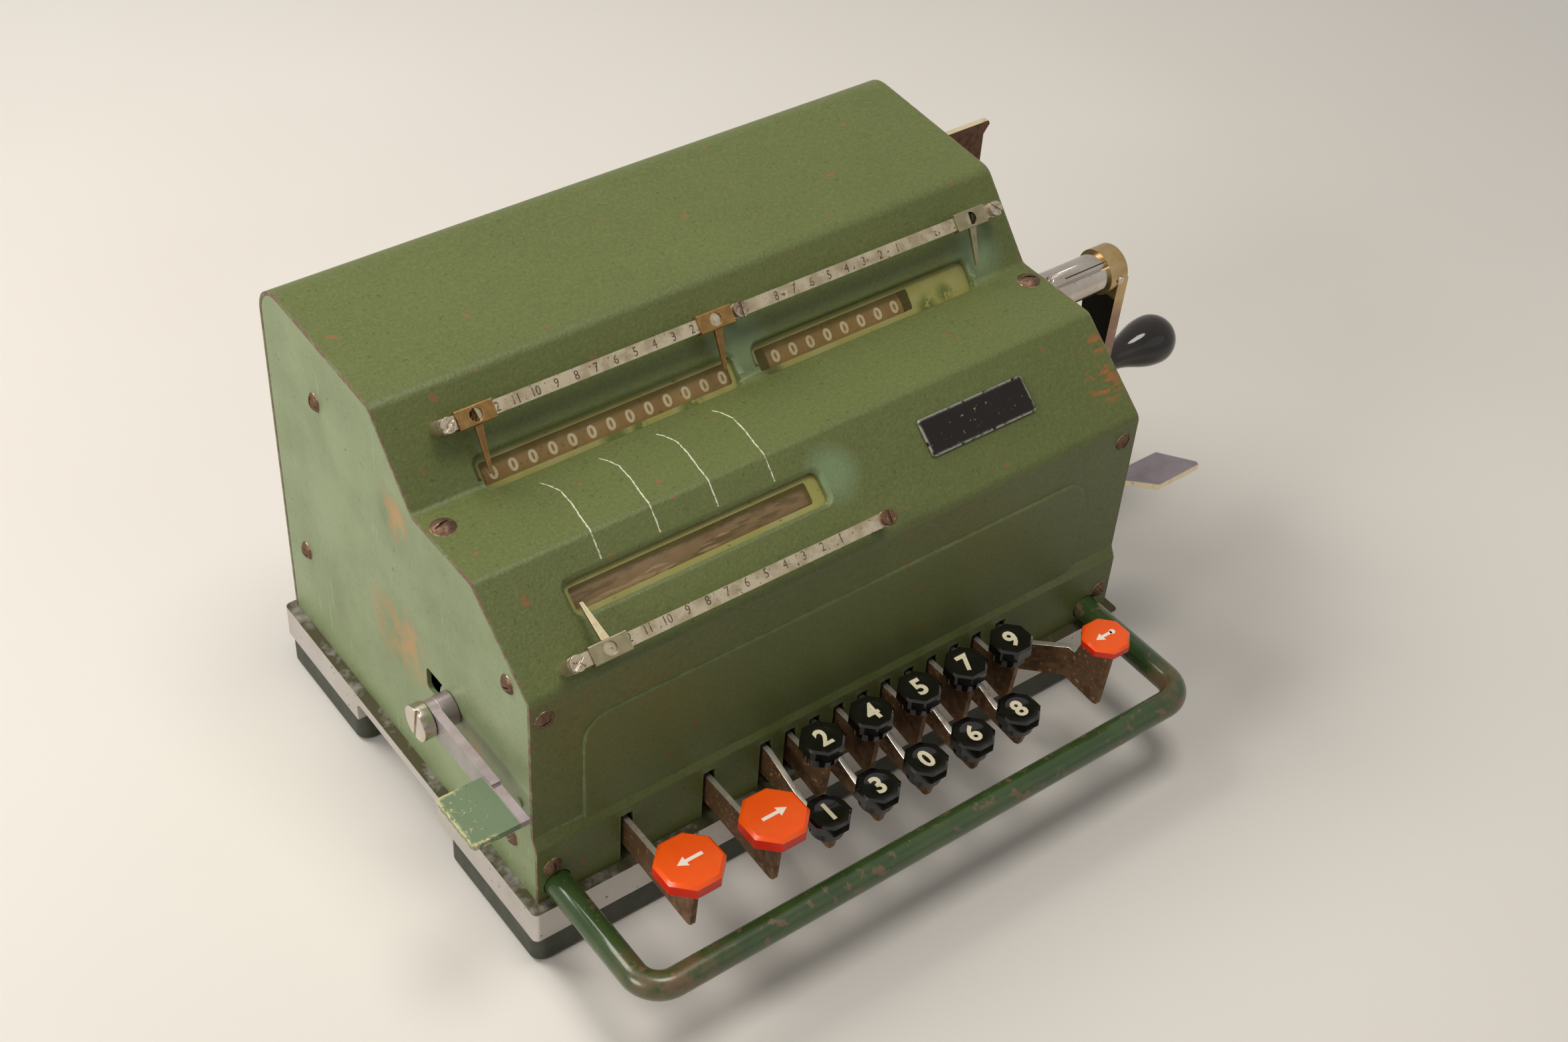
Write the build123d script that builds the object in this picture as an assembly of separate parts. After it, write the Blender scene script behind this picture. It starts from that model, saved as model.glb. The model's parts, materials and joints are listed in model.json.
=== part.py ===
from build123d import *
from math import atan2, cos, degrees, hypot, pi, radians, sin
import os

# Millimetres. While it is modelled, x = 0 is the case's centre plane, y = 0 the base's front face and
# z = 0 the base's underside; the operator sits at -y. save() moves everything to the final origin, which
# is the middle of the whole machine's footprint, on the surface that the feet stand on.

# ---- driving dimensions: case ----
case_width = 232.0
cover_sheet = 1.2
panel_sheet = 1.5
panel_flange = 11.0
nest_gap = 0.1            # between a side panel's flange and the cover around it
base_height = 12.6
base_ledge = 3.75         # how far the base stands out beyond the case at each side
base_depth = 160.0
base_wall = 4.0
base_top = 3.0
base_strip = 4.2          # height of the base's rim between the feet
foot_height = 12.2
front_foot_depth = 53.0
rear_foot_depth = 50.0
foot_wall = 3.0
foot_inset = 0.6
foot_corner = 4.0
foot_edge = 2.0
lower_front_y = 4.0
front_y = 6.0
rear_y = 158.2
step_z = 38.5             # height of the crease low on the front
shelf_z = 121.0
crest = (90.6, 145.9)     # top of the steep slope, (y, z)
rear_top_z = 149.9
front_slope_foot_z = 97.4
front_slope_top_y = 35.6
steep_slope_foot_y = 68.1
crease_radii = [1.5, 1.5, 4.0, 4.0, 3.0, 6.0, 12.0]
front_panel_raise = 0.8   # the shallow raised panel pressed into the front
front_panel_x = (-98.6, 96.0)
front_panel_top_z = 81.0
front_panel_radius = 9.0
drum_dish_radius = 15.8   # round dishes pressed into the left panel
register_dish_radius = 8.4
dish_depth = 1.0

# ---- driving dimensions: registers ----
digit_pitch = 6.87
result_digits = 13
counter_digits = 8
first_digit_x = -85.7
wheel_radius = 11.0
wheel_gap = 0.27
wheel_gear_radius = 9.2
wheel_gear_width = 1.2
register_axis = (81.5, 111.0)
setting_axis = (33.6, 98.2)
shaft_radius = 3.0
running_gap = 0.05        # radial clearance of a shaft in its bearing
window_height = 10.5
window_offset = 0.85      # the windows' middle, up the steep slope from its reference point
window_sheet = 1.0
window_lap = 2.0
result_window_x = (-92.0, -0.2)
counter_window_x = (7.3, 94.5)
setting_window_x = (-91.4, -1.2)
window_radius = 2.6
steep_slope_mark = 2.3    # the slopes' reference points, measured up from their lower creases
front_slope_mark = 22.1
window_recess = 1.3       # depth of the pressed pocket around each window
window_pocket_angle = 50  # degrees that its sides lean outwards
window_pocket_foot = 1.3  # height above the shelf where a pocket's leaning sides begin
name_plate_x = (37.3, 80.0)
name_plate_height = 12.6
name_plate_sheet = 1.1

# ---- driving dimensions: pointer rails ----
rail_width = 4.2
rail_sheet = 1.6
rail_height = 8.6         # from the slope to the rail's outer face
rail_post_radius = 2.4
rail_screw_radius = 2.5
rail_screw_head = 1.5
rail_screw_length = 3.5
upper_rail_up = 18.0      # up the steep slope from its reference point
upper_rail_screws = (-99.2, 3.1, 106.0)
lower_rail_up = -17.0
lower_rail_screws = (-101.4, 8.5)
sleeve_length = 12.4
sleeve_width = 6.0
sleeve_wall = 0.7
sleeve_gap = 0.08
sleeve_hole_radius = 2.1
needle_root = 2.6
needle_tip = 1.1
needle_tip_height = 3.2
pointer_places = {        # rail, x, tip's place up the slope
    "decimal_pointer_1": ("upper", -89.9, 0.5),
    "decimal_pointer_2": ("upper", -6.1, 2.7),
    "decimal_pointer_3": ("upper", 95.6, 3.0),
    "decimal_pointer_4": ("lower", -90.4, -1.8),
}

# ---- driving dimensions: keys ----
lever_pitch = 9.65
lever_sheet = 2.0
first_lever_x = -32.2
number_keys = "1234056789"
front_row = "13068"
lever_top_z = 31.0
lever_bottom_z = 19.0
key_pivot = (66.0, 25.0)
lever_tail = 14.0
slot_width = 4.4
slot_top_z = 33.4
cap_width = 13.8
cap_height = 8.0
cap_head = 4.3            # the eight-sided head of a number cap
cap_skirt_radius = 5.7
front_cap_y = -28.3
front_cap_top = 32.0
rear_cap_y = -11.3
rear_cap_top = 44.0
tang_height = 3.0
tang_gap = 0.05
function_keys = {         # lever x, cap x, cap y, cap top z, cap width, cap height, head height
    "step_left_key": (-84.3, -84.0, -28.0, 44.5, 20.4, 5.0, 5.0),
    "step_right_key": (-53.9, -53.4, -28.0, 44.5, 20.4, 5.0, 5.0),
    "carriage_return_key": (65.0, 80.0, -28.6, 46.0, 15.4, 5.2, 3.4),
}
return_lever_jog = (-4.0, -16.0)
return_lever_x = 78.6
foot_tip_z = 17.2
stop_bar_y = (75.0, 81.0)
rest_gap = 0.3

# ---- driving dimensions: carrying bar ----
bar_radius = 4.5
bar_z = 18.5
bar_x = (-109.2, 105.4)
bar_front_y = -45.8
bar_inner_y = 24.0
bar_bend = 9.0
bar_hole_gap = 0.3
bar_lug = 4.0             # wall of the lug that holds each end of the bar

# ---- driving dimensions: mechanism ----
frame_sheet = 3.0
left_frame_x = -98.0
right_frame_x = 88.0
frame_inset = 7.0
frame_flange = 12.0
drum_axis = (81.5, 62.0)
drum_shaft_radius = 4.0
spline_width = 2.0
spline_height = 1.2
spline_gap = 0.1
drum_disc_radius = 23.5
drum_disc_sheet = 3.0
drum_hub_radius = 12.0
drum_pin_length = 3.2
drum_pin_width = 2.0
drum_discs = 9
drum_flange_sheet = 2.0
drum_flange_radius = 25.0
drum_centre_x = 36.0
gear_module = 1.0
crank_teeth = 16
idler_teeth = 35
gear_width = 5.0
gear_x = 98.5
crank_axis = (62.4, 109.0)
crank_shaft_radius = 4.0
barrel_radius = 7.0
barrel_end_x = 146.0
barrel_start_x = 113.0
crank_reach = 42.4
crank_sweep = 1.5         # the arm leans this many millimetres forward over its length
crank_hub_radius = 8.2
crank_hub_end_x = 154.5
crank_arm_sheet = 5.0
crank_arm_end_radius = 5.6
grip_length = 35.5
grip_neck_radius = 4.7
grip_bulb_radius = 9.2
grip_spindle_radius = 2.4
crank_pin_radius = 1.5

# ---- driving dimensions: clearing levers ----
lever_plate = 3.0
lever_arm_height = 9.5
lever_standoff = 5.2      # from a side panel to the arm
lever_screw_radius = 3.0
lever_screw_head = 6.0
lever_screw_head_height = 4.2
front_lever_pivot = (51.0, 57.2)
rear_lever_pivot = (118.0, 72.0)
tab_sheet = 2.2
left_tab_y = (-1.5, 19.5)
left_tab_length = 18.6
tab_top_z = 61.0
right_tab_outline = [(0, 18), (22.5, 18), (31, 6.6), (30.5, 5), (11.5, 4.6), (3.2, 12.5), (0, 12.5)]
rear_tab_top_z = 142.5
rear_tab_height = 21.0
rear_tab_width = 16.6
rear_tab_flare = 2.4

# ---- driving dimensions: screws ----
shelf_screw_radius = 4.0
case_screw_radius = 3.3
screw_dome = 1.7
screw_slot = (0.9, 0.8)   # width, depth
screw_shank = 1.6
screw_length = 4.0
shelf_screws = [(-110.8, 59.4), (110.8, 59.4)]
front_screws = [(-111.2, 89.5), (110.4, 89.5), (-110.6, 26.9), (111.6, 23.5)]
rear_screws = [(-110.8, 125.0), (110.8, 125.0), (-110.8, 30.0), (110.8, 30.0)]
side_screws = [(125.8, 123.0), (144.1, 48.3), (17.6, 96.3), (18.3, 30.0)]
rivet = (12.8, 50.8)      # on the left panel
rivet_radius = 1.6
rivet_height = 0.6

# ---- worked out from the sizes above ----
half_case = case_width / 2
half_base = half_case + base_ledge
panel_face_x = half_case - nest_gap
grip_end_x = crank_hub_end_x + grip_length
front_lever_inner_x = panel_face_x + lever_standoff
front_lever_outer_x = front_lever_inner_x + lever_plate
left_tab_outer_x = -front_lever_outer_x - left_tab_length + lever_plate
origin = (
    (left_tab_outer_x + grip_end_x) / 2,
    (bar_front_y - bar_radius + base_depth) / 2,
    -foot_height,
)


def save(name, *solids):
    shape = Compound(children=[Pos(-origin[0], -origin[1], -origin[2]) * s for s in solids])
    export_step(shape if len(shape.solids()) > 1 else shape.solids()[0], f"parts/{name}.step")


# ---- plain shapes ----
def block(x, y, z):
    """A box from its limits along each axis."""
    box = Box(x[1] - x[0], y[1] - y[0], z[1] - z[0], align=(Align.MIN, Align.MIN, Align.MIN))
    return Pos(x[0], y[0], z[0]) * box


def along_x(axis, radius, x_start, x_end):
    """A cylinder along x through the point axis = (y, z)."""
    low, high = sorted((x_start, x_end))
    plane = Plane(origin=(low, axis[0], axis[1]), x_dir=(0, 1, 0), z_dir=(1, 0, 0))
    return plane * extrude(Circle(radius), high - low)


def along_y(x, z, radius, y_start, y_end):
    plane = Plane(origin=(x, y_start, z), x_dir=(1, 0, 0), z_dir=(0, 1, 0))
    return plane * extrude(Circle(radius), y_end - y_start)


def side_plate(sketch, x_start, x_end):
    """A sketch of (y, z) points extruded along x."""
    return extrude(Plane.YZ.offset(x_start) * sketch, x_end - x_start)


def polygon(points):
    return make_face(Polyline(*points, close=True))


def slope_plane(low, high, mark):
    """A plane on a slope from low to high: its x runs along the case, its y up the slope, its z out."""
    rise, run = high[1] - low[1], high[0] - low[0]
    length = hypot(rise, run)
    start = (0, low[0] + mark * run / length, low[1] + mark * rise / length)
    return Plane(origin=start, x_dir=(1, 0, 0), z_dir=(0, -rise, run))


steep = slope_plane((steep_slope_foot_y, shelf_z), crest, steep_slope_mark)
front_slope = slope_plane((front_y, front_slope_foot_z), (front_slope_top_y, shelf_z), front_slope_mark)


def slope_slab(plane, x, up, height, radius=0.0):
    """A slab on a slope: x and up give its limits, height its start and end above the surface."""
    outline = Rectangle(x[1] - x[0], up[1] - up[0])
    if radius:
        outline = fillet(outline.vertices(), radius)
    middle = Pos((x[0] + x[1]) / 2, (up[0] + up[1]) / 2, height[0])
    return plane * middle * extrude(outline, height[1] - height[0])


def domed_screw(head_radius, dome, turn):
    """A slotted screw that stands on z = 0 with its shank below; turn is the slot's angle."""
    ball = (head_radius ** 2 + dome ** 2) / (2 * dome)
    head = Pos(0, 0, dome - ball) * Sphere(ball)
    head &= Cylinder(head_radius, 2 * dome, align=(Align.CENTER, Align.CENTER, Align.MIN))
    slot = Pos(0, 0, dome) * Rot(0, 0, turn) * Box(3 * head_radius, screw_slot[0], 2 * screw_slot[1])
    shank = Cylinder(screw_shank, screw_length, align=(Align.CENTER, Align.CENTER, Align.MAX))
    return (head - slot) + shank


# ---- case ----
def case_face(inset):
    """The case's outline in the (y, z) plane, drawn in by inset, down to the base."""
    corners = [
        (lower_front_y, base_height),
        (lower_front_y, step_z - 2),
        (front_y, step_z + 2),
        (front_y, front_slope_foot_z),
        (front_slope_top_y, shelf_z),
        (steep_slope_foot_y, shelf_z),
        crest,
        (rear_y, rear_top_z),
        (rear_y, base_height),
    ]
    skin = FilletPolyline(*corners, radius=crease_radii)
    face = make_face(skin + Line(corners[-1], corners[0]))
    if inset == 0:
        return face
    inner = offset(face, -inset)
    low, high = lower_front_y + inset, rear_y - inset
    foot = Pos((low + high) / 2, base_height + inset / 2 + 1)
    return inner + foot * Rectangle(high - low, inset + 2)


def case_body(inset, half_width):
    return extrude(Plane.YZ * case_face(inset), half_width, both=True)


def front_raised_panel():
    """The shallow panel pressed into the front, from the crease up, with rounded top corners."""
    width = front_panel_x[1] - front_panel_x[0]
    height = front_panel_top_z - step_z
    plane = Plane(
        origin=((front_panel_x[0] + front_panel_x[1]) / 2, front_y, step_z + height / 2),
        x_dir=(1, 0, 0),
        z_dir=(0, -1, 0),
    )
    outline = Rectangle(width, height)
    outline = fillet(outline.vertices().group_by(Axis.Y)[-1], front_panel_radius)
    slab = extrude(outline, front_panel_raise)
    rim = slab.faces().sort_by(Axis.Z)[-1].edges()
    return plane * chamfer(rim, front_panel_raise * 0.7)


def lever_slots():
    """The slots low in the front that the key levers come through."""
    slots = []
    for x in [lever_x(key) for key in number_keys] + [f[0] for f in function_keys.values()]:
        slots.append(block((x - slot_width / 2, x + slot_width / 2), (-5, front_y + 4), (0, slot_top_z)))
    return slots


def window_places():
    return [
        (steep, result_window_x, window_offset),
        (steep, counter_window_x, window_offset),
        (front_slope, setting_window_x, 0.0),
    ]


def window_slab(place, grow, height):
    """A slab as large as a window's opening, or grown on all sides."""
    plane, span, middle = place
    half = window_height / 2 + grow
    return slope_slab(plane, (span[0] - grow, span[1] + grow), (middle - half, middle + half),
                      height, window_radius + grow)


def window_pocket(place):
    """The pressed hollow around a window, whose sides lean outwards; its foot ends at the crease below."""
    plane, span, middle = place
    outline = Rectangle(span[1] - span[0], window_height)
    outline = fillet(outline.vertices(), window_radius)
    hollow = extrude(outline, window_recess + 6, taper=-window_pocket_angle)
    hollow = plane * Pos((span[0] + span[1]) / 2, middle, -window_recess) * hollow
    if plane is steep:
        hollow &= block((-half_case, half_case), (0, rear_y), (shelf_z + window_pocket_foot, rear_top_z))
    return hollow


def with_windows(shell):
    """Presses the pockets into the sheet and opens their floors."""
    solid = case_body(0, half_case)
    floor = -window_recess - cover_sheet
    for place in window_places():
        shell += window_slab(place, cover_sheet + window_recess, (floor, 6)) & solid
        shell -= window_pocket(place)
        shell -= window_slab(place, 0, (-9, 9))
    return shell


def top_cover():
    shell = case_body(0, half_case) + front_raised_panel()
    shell -= case_body(cover_sheet, half_case + 1)
    shell -= block((-half_case - 1, half_case + 1), (lower_front_y + cover_sheet, rear_y - cover_sheet),
                   (0, base_height + 4))
    shell = with_windows(shell)
    for cut in lever_slots():
        shell -= cut
    for x in bar_x:
        shell -= along_y(x, bar_z, bar_radius + bar_hole_gap, -2, front_y + 6)
    for shape in case_screw_shanks():
        shell -= shape
    return shell


def side_panel(side):
    """side is -1 for the left panel and 1 for the right one."""
    inset = cover_sheet + nest_gap
    outer = case_face(inset)
    inner = case_face(inset + panel_sheet)
    x_face = side * panel_face_x
    x_web = side * (panel_face_x - panel_sheet)
    x_rim = side * (panel_face_x - panel_flange)
    web = side_plate(outer, min(x_face, x_web), max(x_face, x_web))
    rim = side_plate(outer, min(x_web, x_rim), max(x_web, x_rim))
    rim -= side_plate(inner, min(x_web, x_rim) - 1, max(x_web, x_rim) + 1)
    rim -= block((-half_case, half_case), (front_y + 5, rear_y - 5), (0, base_height + 8))
    panel = web + rim
    return panel


def panel_dish(axis, radius, depth):
    """The ball that presses a round shallow dish into the left panel, over a bearing of the mechanism."""
    ball = (radius ** 2 + depth ** 2) / (2 * depth)
    return Pos(depth - panel_face_x - ball, axis[0], axis[1]) * Sphere(ball)


def left_side_panel():
    panel = side_panel(-1) - lever_slot()
    panel -= panel_dish(drum_axis, drum_dish_radius, dish_depth)
    panel -= panel_dish(register_axis, register_dish_radius, dish_depth * 0.8)
    panel += along_x(rivet, rivet_radius, -panel_face_x - rivet_height, -panel_face_x)
    return finish_panel(panel, -1)


def lever_slot():
    """The slot in the left panel behind the clearing lever."""
    y, z = front_lever_pivot
    slot = Pos(y + 6, z) * Rectangle(18, 9)
    slot = fillet(slot.vertices(), 2)
    slot -= Pos(y, z) * Circle(lever_screw_head + 1)
    return side_plate(slot, -half_case - 1, -half_case + 6)


def finish_panel(panel, side):
    """Holes for the bar, the screws and the clearing levers' pivots."""
    x = bar_x[0] if side < 0 else bar_x[1]
    panel -= along_y(x, bar_z, bar_radius + bar_hole_gap, -2, front_y + 8)
    for shape in case_screw_shanks() + side_screw_shanks(side):
        panel -= shape
    pivots = [front_lever_pivot] if side < 0 else [front_lever_pivot, rear_lever_pivot]
    for pivot in pivots:
        panel -= along_x(pivot, lever_screw_radius, side * (half_case + 1), side * (half_case - 6))
    return panel


def right_side_panel():
    panel = side_panel(1)
    panel -= along_x(crank_axis, barrel_radius + rest_gap, half_case - 6, half_case + 1)
    return finish_panel(panel, 1)


def case_screw_places():
    """Each screw of the cover as (place, head radius, slot angle); the place's z points out of the case."""
    places = []
    for n, (x, y) in enumerate(shelf_screws):
        places.append((Pos(x, y, shelf_z), shelf_screw_radius, 12 - 40 * n))
    for n, (x, z) in enumerate(front_screws):
        y = front_y if z > step_z else lower_front_y
        places.append((Pos(x, y, z) * Rot(90, 0, 0), case_screw_radius, 35 * n + 20))
    for n, (x, z) in enumerate(rear_screws):
        places.append((Pos(x, rear_y, z) * Rot(-90, 0, 0), case_screw_radius, 50 * n + 10))
    return places


def side_screw_places(side):
    places = []
    for n, (y, z) in enumerate(side_screws):
        turn = Rot(0, 90 * side, 0)
        places.append((Pos(side * panel_face_x, y, z) * turn, case_screw_radius, 40 * n + 25))
    return places


def shank_hole(place):
    return place * Cylinder(screw_shank, 2 * screw_length)


def case_screw_shanks():
    return [shank_hole(place) for place, _, _ in case_screw_places()]


def side_screw_shanks(side):
    return [shank_hole(place) for place, _, _ in side_screw_places(side)]


def case_screws():
    return [place * domed_screw(r, screw_dome, turn) for place, r, turn in case_screw_places()]


def side_panel_screws():
    screws = []
    for side in (-1, 1):
        for place, r, turn in side_screw_places(side):
            screws.append(place * domed_screw(r, screw_dome, turn))
    return screws


def base_plate():
    """A shallow casting, open below, with a rim that is cut away between the feet."""
    body = block((-half_base, half_base), (0, base_depth), (0, base_height))
    body = fillet(body.edges().filter_by(Axis.Z), 2.0)
    body -= block((-half_base + base_wall, half_base - base_wall), (base_wall, base_depth - base_wall),
                  (-1, base_height - base_top))
    gap_y = (front_foot_depth + 5, base_depth - rear_foot_depth)
    opening = Pos((gap_y[0] + gap_y[1]) / 2, (base_height - base_strip) / 2 - 2)
    opening *= Rectangle(gap_y[1] - gap_y[0], base_height - base_strip + 4)
    opening = fillet(opening.vertices().group_by(Axis.Y)[-1], 3.0)
    body -= side_plate(opening, -half_base - 1, half_base + 1)
    for x in bar_x:
        lug = block((x - bar_radius - bar_lug, x + bar_radius + bar_lug),
                    (front_y + 10, bar_inner_y + bar_lug), (base_height - 1, bar_z + bar_radius + bar_lug))
        lug -= block((-half_base, -panel_face_x + panel_sheet + rest_gap), (0, 60), (0, 60))
        body += lug
        body -= along_y(x, bar_z, bar_radius, front_y, bar_inner_y)
        body -= block((x - bar_radius - 1, x + bar_radius + 1), (front_y - 10, front_y + 10),
                      (base_height, base_height + 30))
    return body


def foot_block(y):
    """A foot rail as wide as the base, hollow from above."""
    x = half_base - foot_inset
    body = block((-x, x), y, (-foot_height, 0))
    body = fillet(body.edges().filter_by(Axis.Z), foot_corner)
    body = fillet(body.faces().sort_by(Axis.Z)[0].edges(), foot_edge)
    hollow = block((-x + foot_wall, x - foot_wall), (y[0] + foot_wall, y[1] - foot_wall),
                   (-foot_height + foot_wall, 1))
    return body - hollow


def feet():
    front = (foot_inset, front_foot_depth)
    rear = (base_depth - rear_foot_depth, base_depth - foot_inset)
    return [foot_block(front), foot_block(rear)]


def carrying_bar():
    path = FilletPolyline(
        (bar_x[0], bar_inner_y, bar_z),
        (bar_x[0], bar_front_y, bar_z),
        (bar_x[1], bar_front_y, bar_z),
        (bar_x[1], bar_inner_y, bar_z),
        radius=bar_bend,
    )
    start = Plane(origin=path @ 0, z_dir=path % 0)
    return sweep(start * Circle(bar_radius), path=path)


# ---- windows, plate and pointer rails ----
def register_windows():
    """The panes, each under its pocket's floor."""
    top = -window_recess - cover_sheet
    return [window_slab(place, window_lap, (top - window_sheet, top)) for place in window_places()]


def name_plate():
    half = name_plate_height / 2
    plate = slope_slab(front_slope, name_plate_x, (-half, half), (0, name_plate_sheet), 1.2)
    return plate


def rail(plane, up, screws):
    """A flat bar on posts; the screws go through it into the posts."""
    half = rail_width / 2
    end = rail_width * 0.6
    bar = slope_slab(plane, (screws[0] - end, screws[-1] + end), (up - half, up + half),
                     (rail_height - rail_sheet, rail_height), half * 0.95)
    for x in screws:
        post = Cylinder(rail_post_radius, rail_height - rail_sheet,
                        align=(Align.CENTER, Align.CENTER, Align.MIN))
        bar += plane * Pos(x, up, 0) * post
        bar -= plane * Pos(x, up, rail_height) * Cylinder(screw_shank, 2 * rail_screw_length)
    return bar


def rail_screws():
    screws = []
    for plane, up, places in ((steep, upper_rail_up, upper_rail_screws),
                              (front_slope, lower_rail_up, lower_rail_screws)):
        for n, x in enumerate(places):
            head = Cylinder(rail_screw_radius, rail_screw_head, align=(Align.CENTER, Align.CENTER, Align.MIN))
            slot = Pos(0, 0, rail_screw_head) * Rot(0, 0, 35 + 50 * n)
            head -= slot * Box(3 * rail_screw_radius, screw_slot[0], 2 * screw_slot[1])
            shank = Cylinder(screw_shank, rail_screw_length, align=(Align.CENTER, Align.CENTER, Align.MAX))
            screws.append(plane * Pos(x, up, rail_height) * (head + shank))
    return screws


def decimal_pointer(rail_name, x, tip_up):
    """A sleeve that slides on its rail, with a round hole over the digits and a needle to the window."""
    plane, up = (steep, upper_rail_up) if rail_name == "upper" else (front_slope, lower_rail_up)
    toward = -1 if tip_up < up else 1
    inner_half = rail_width / 2 + sleeve_gap
    low = rail_height - rail_sheet - sleeve_gap
    half_length = sleeve_length / 2
    outer_half = sleeve_width / 2
    sleeve = slope_slab(plane, (x - half_length, x + half_length), (up - outer_half, up + outer_half),
                        (low - sleeve_wall, rail_height + sleeve_gap + sleeve_wall))
    sleeve = fillet(sleeve.edges().filter_by(Axis.X), 0.5)
    sleeve -= slope_slab(plane, (x - half_length - 1, x + half_length + 1),
                         (up - inner_half, up + inner_half), (low, rail_height + sleeve_gap))
    sleeve -= plane * Pos(x, up, rail_height + 1) * Cylinder(sleeve_hole_radius, 2.4)
    root_up = up + toward * (outer_half - 0.3)
    top = rail_height
    needle_top = [
        (x - needle_root / 2, root_up), (x + needle_root / 2, root_up),
        (x + needle_tip / 2, tip_up), (x - needle_tip / 2, tip_up),
    ]
    flat = plane * extrude(polygon(needle_top), rail_height + 2)
    drop = top - needle_tip_height
    side = [(root_up, top), (root_up, top - 1.3), (tip_up, top - drop - 0.4), (tip_up, top - drop + 0.6)]
    across = Plane(origin=plane.from_local_coords((x - 5, 0, 0)), x_dir=plane.y_dir, z_dir=plane.x_dir)
    return sleeve + (flat & (across * extrude(polygon(side), 10)))


# ---- keys ----
def lever_x(key):
    return first_lever_x + number_keys.index(key) * lever_pitch


def lever_blank(outline):
    return polygon(outline) + Pos(*key_pivot) * Circle(shaft_radius + 4.5)


def lever_bore(x):
    return along_x(key_pivot, shaft_radius + running_gap, x - 10, x + 10)


def key_lever_outline(cap_y, cap_bottom, cap_half):
    """A lever's outline in the (y, z) plane: the tail, the neck through the slot, the tang and the foot."""
    back = cap_y + cap_half - 1.4
    front = cap_y - cap_half + 2.2
    tail_y = key_pivot[0] + lever_tail
    shoulder = cap_bottom - 0.2 if cap_bottom < lever_top_z else lever_top_z
    points = [(tail_y, lever_bottom_z), (tail_y, lever_top_z), (lower_front_y - 2, lever_top_z)]
    if cap_bottom < lever_top_z:
        points += [(back + 4, shoulder), (back, cap_bottom)]
    else:
        points += [(back + 3, lever_top_z), (back, cap_bottom)]
    points += [
        (cap_y + 3, cap_bottom), (cap_y + 3, cap_bottom + tang_height),
        (cap_y - 3, cap_bottom + tang_height), (cap_y - 3, cap_bottom),
        (front, cap_bottom), (front + 1.5, foot_tip_z + 0.8), (front + 3, foot_tip_z),
        (front + 5.5, foot_tip_z), (0, lever_bottom_z),
    ]
    return points


def key_lever(x, outline):
    lever = side_plate(lever_blank(outline), x - lever_sheet / 2, x + lever_sheet / 2)
    return lever - lever_bore(x)


def return_lever(x, cap):
    """The lever whose key stands to the right of its slot: it jogs sideways in front of the case."""
    _, _, cap_y, cap_top, cap_w, cap_h, _ = cap
    outline = key_lever_outline(cap_y, cap_top - cap_h, cap_w / 2)
    wide = side_plate(lever_blank(outline), x - 20, return_lever_x + 20)
    half = lever_sheet / 2
    near, far = return_lever_jog
    front = cap_y - cap_w
    path = [(x, key_pivot[0] + lever_tail + 1), (x, near), (return_lever_x, far), (return_lever_x, front)]
    track = Polyline(*path)
    strip = trace(track, line_width=lever_sheet)
    lever = wide & extrude(strip, 60)
    return lever - lever_bore(x)


def octagon(width):
    return Rot(0, 0, 22.5) * RegularPolygon(width / 2, 8, major_radius=False)


def key_cap(x, y, top, width, height, head, lever_at, dish):
    """An eight-sided head with bevelled rims, on a round skirt where the head is thinner than the
    cap is high, with a shallow dish above and a slot below for the lever's tang."""
    bevel = width * 0.05
    cap = extrude(octagon(width), head)
    cap = chamfer(cap.faces().sort_by(Axis.Z)[-1].edges(), bevel)
    if head < height:
        cap = chamfer(cap.faces().sort_by(Axis.Z)[0].edges(), bevel / 2)
        cap = Pos(0, 0, height - head) * cap + extrude(Circle(cap_skirt_radius), height - head)
    if dish:
        reach = width * 0.36
        ball = (reach ** 2 + dish ** 2) / (2 * dish)
        cap -= Pos(0, 0, height - dish + ball) * Sphere(ball)
    slot = Box(lever_sheet + 2 * tang_gap, 6 + 2 * tang_gap, 2 * (tang_height + tang_gap))
    cap -= Pos(lever_at - x, 0, 0) * slot
    return Pos(x, y, top - height) * cap


def number_key(key):
    low = key in front_row
    cap_y, cap_top = (front_cap_y, front_cap_top) if low else (rear_cap_y, rear_cap_top)
    x = lever_x(key)
    outline = key_lever_outline(cap_y, cap_top - cap_height, cap_width / 2)
    save(f"key_{key}_lever", key_lever(x, outline))
    save(f"key_{key}_cap", key_cap(x, cap_y, cap_top, cap_width, cap_height, cap_head, x, 0.5))


def function_key(name, sizes):
    x, cap_x, cap_y, cap_top, width, height, head = sizes
    if name == "carriage_return_key":
        lever, lever_at = return_lever(x, sizes), return_lever_x
    else:
        outline = key_lever_outline(cap_y, cap_top - height, width / 2 - 3)
        lever, lever_at = key_lever(x, outline), x
    save(f"{name}_lever", lever)
    save(f"{name}_cap", key_cap(cap_x, cap_y, cap_top, width, height, head, lever_at, 0))


# ---- mechanism ----
def spur_gear(teeth, width, first_tooth=0.0):
    """A gear about the local z axis; first_tooth is the angle of one tooth's middle."""
    pitch_radius = gear_module * teeth / 2
    tip = pitch_radius + 0.9 * gear_module
    root = pitch_radius - 1.15 * gear_module
    pitch = 360 / teeth
    wheel = Circle(root)
    half = [0.30 * pitch, 0.215 * pitch, 0.10 * pitch]
    radii = [root - 0.3, pitch_radius, tip]
    teeth_faces = []
    for n in range(teeth):
        middle = first_tooth + n * pitch
        left = [(r * cos(radians(middle - h)), r * sin(radians(middle - h))) for r, h in zip(radii, half)]
        right = [(r * cos(radians(middle + h)), r * sin(radians(middle + h))) for r, h in zip(radii, half)]
        teeth_faces.append(polygon(left + right[::-1]))
    wheel = wheel + teeth_faces
    return extrude(wheel, width)


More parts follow.
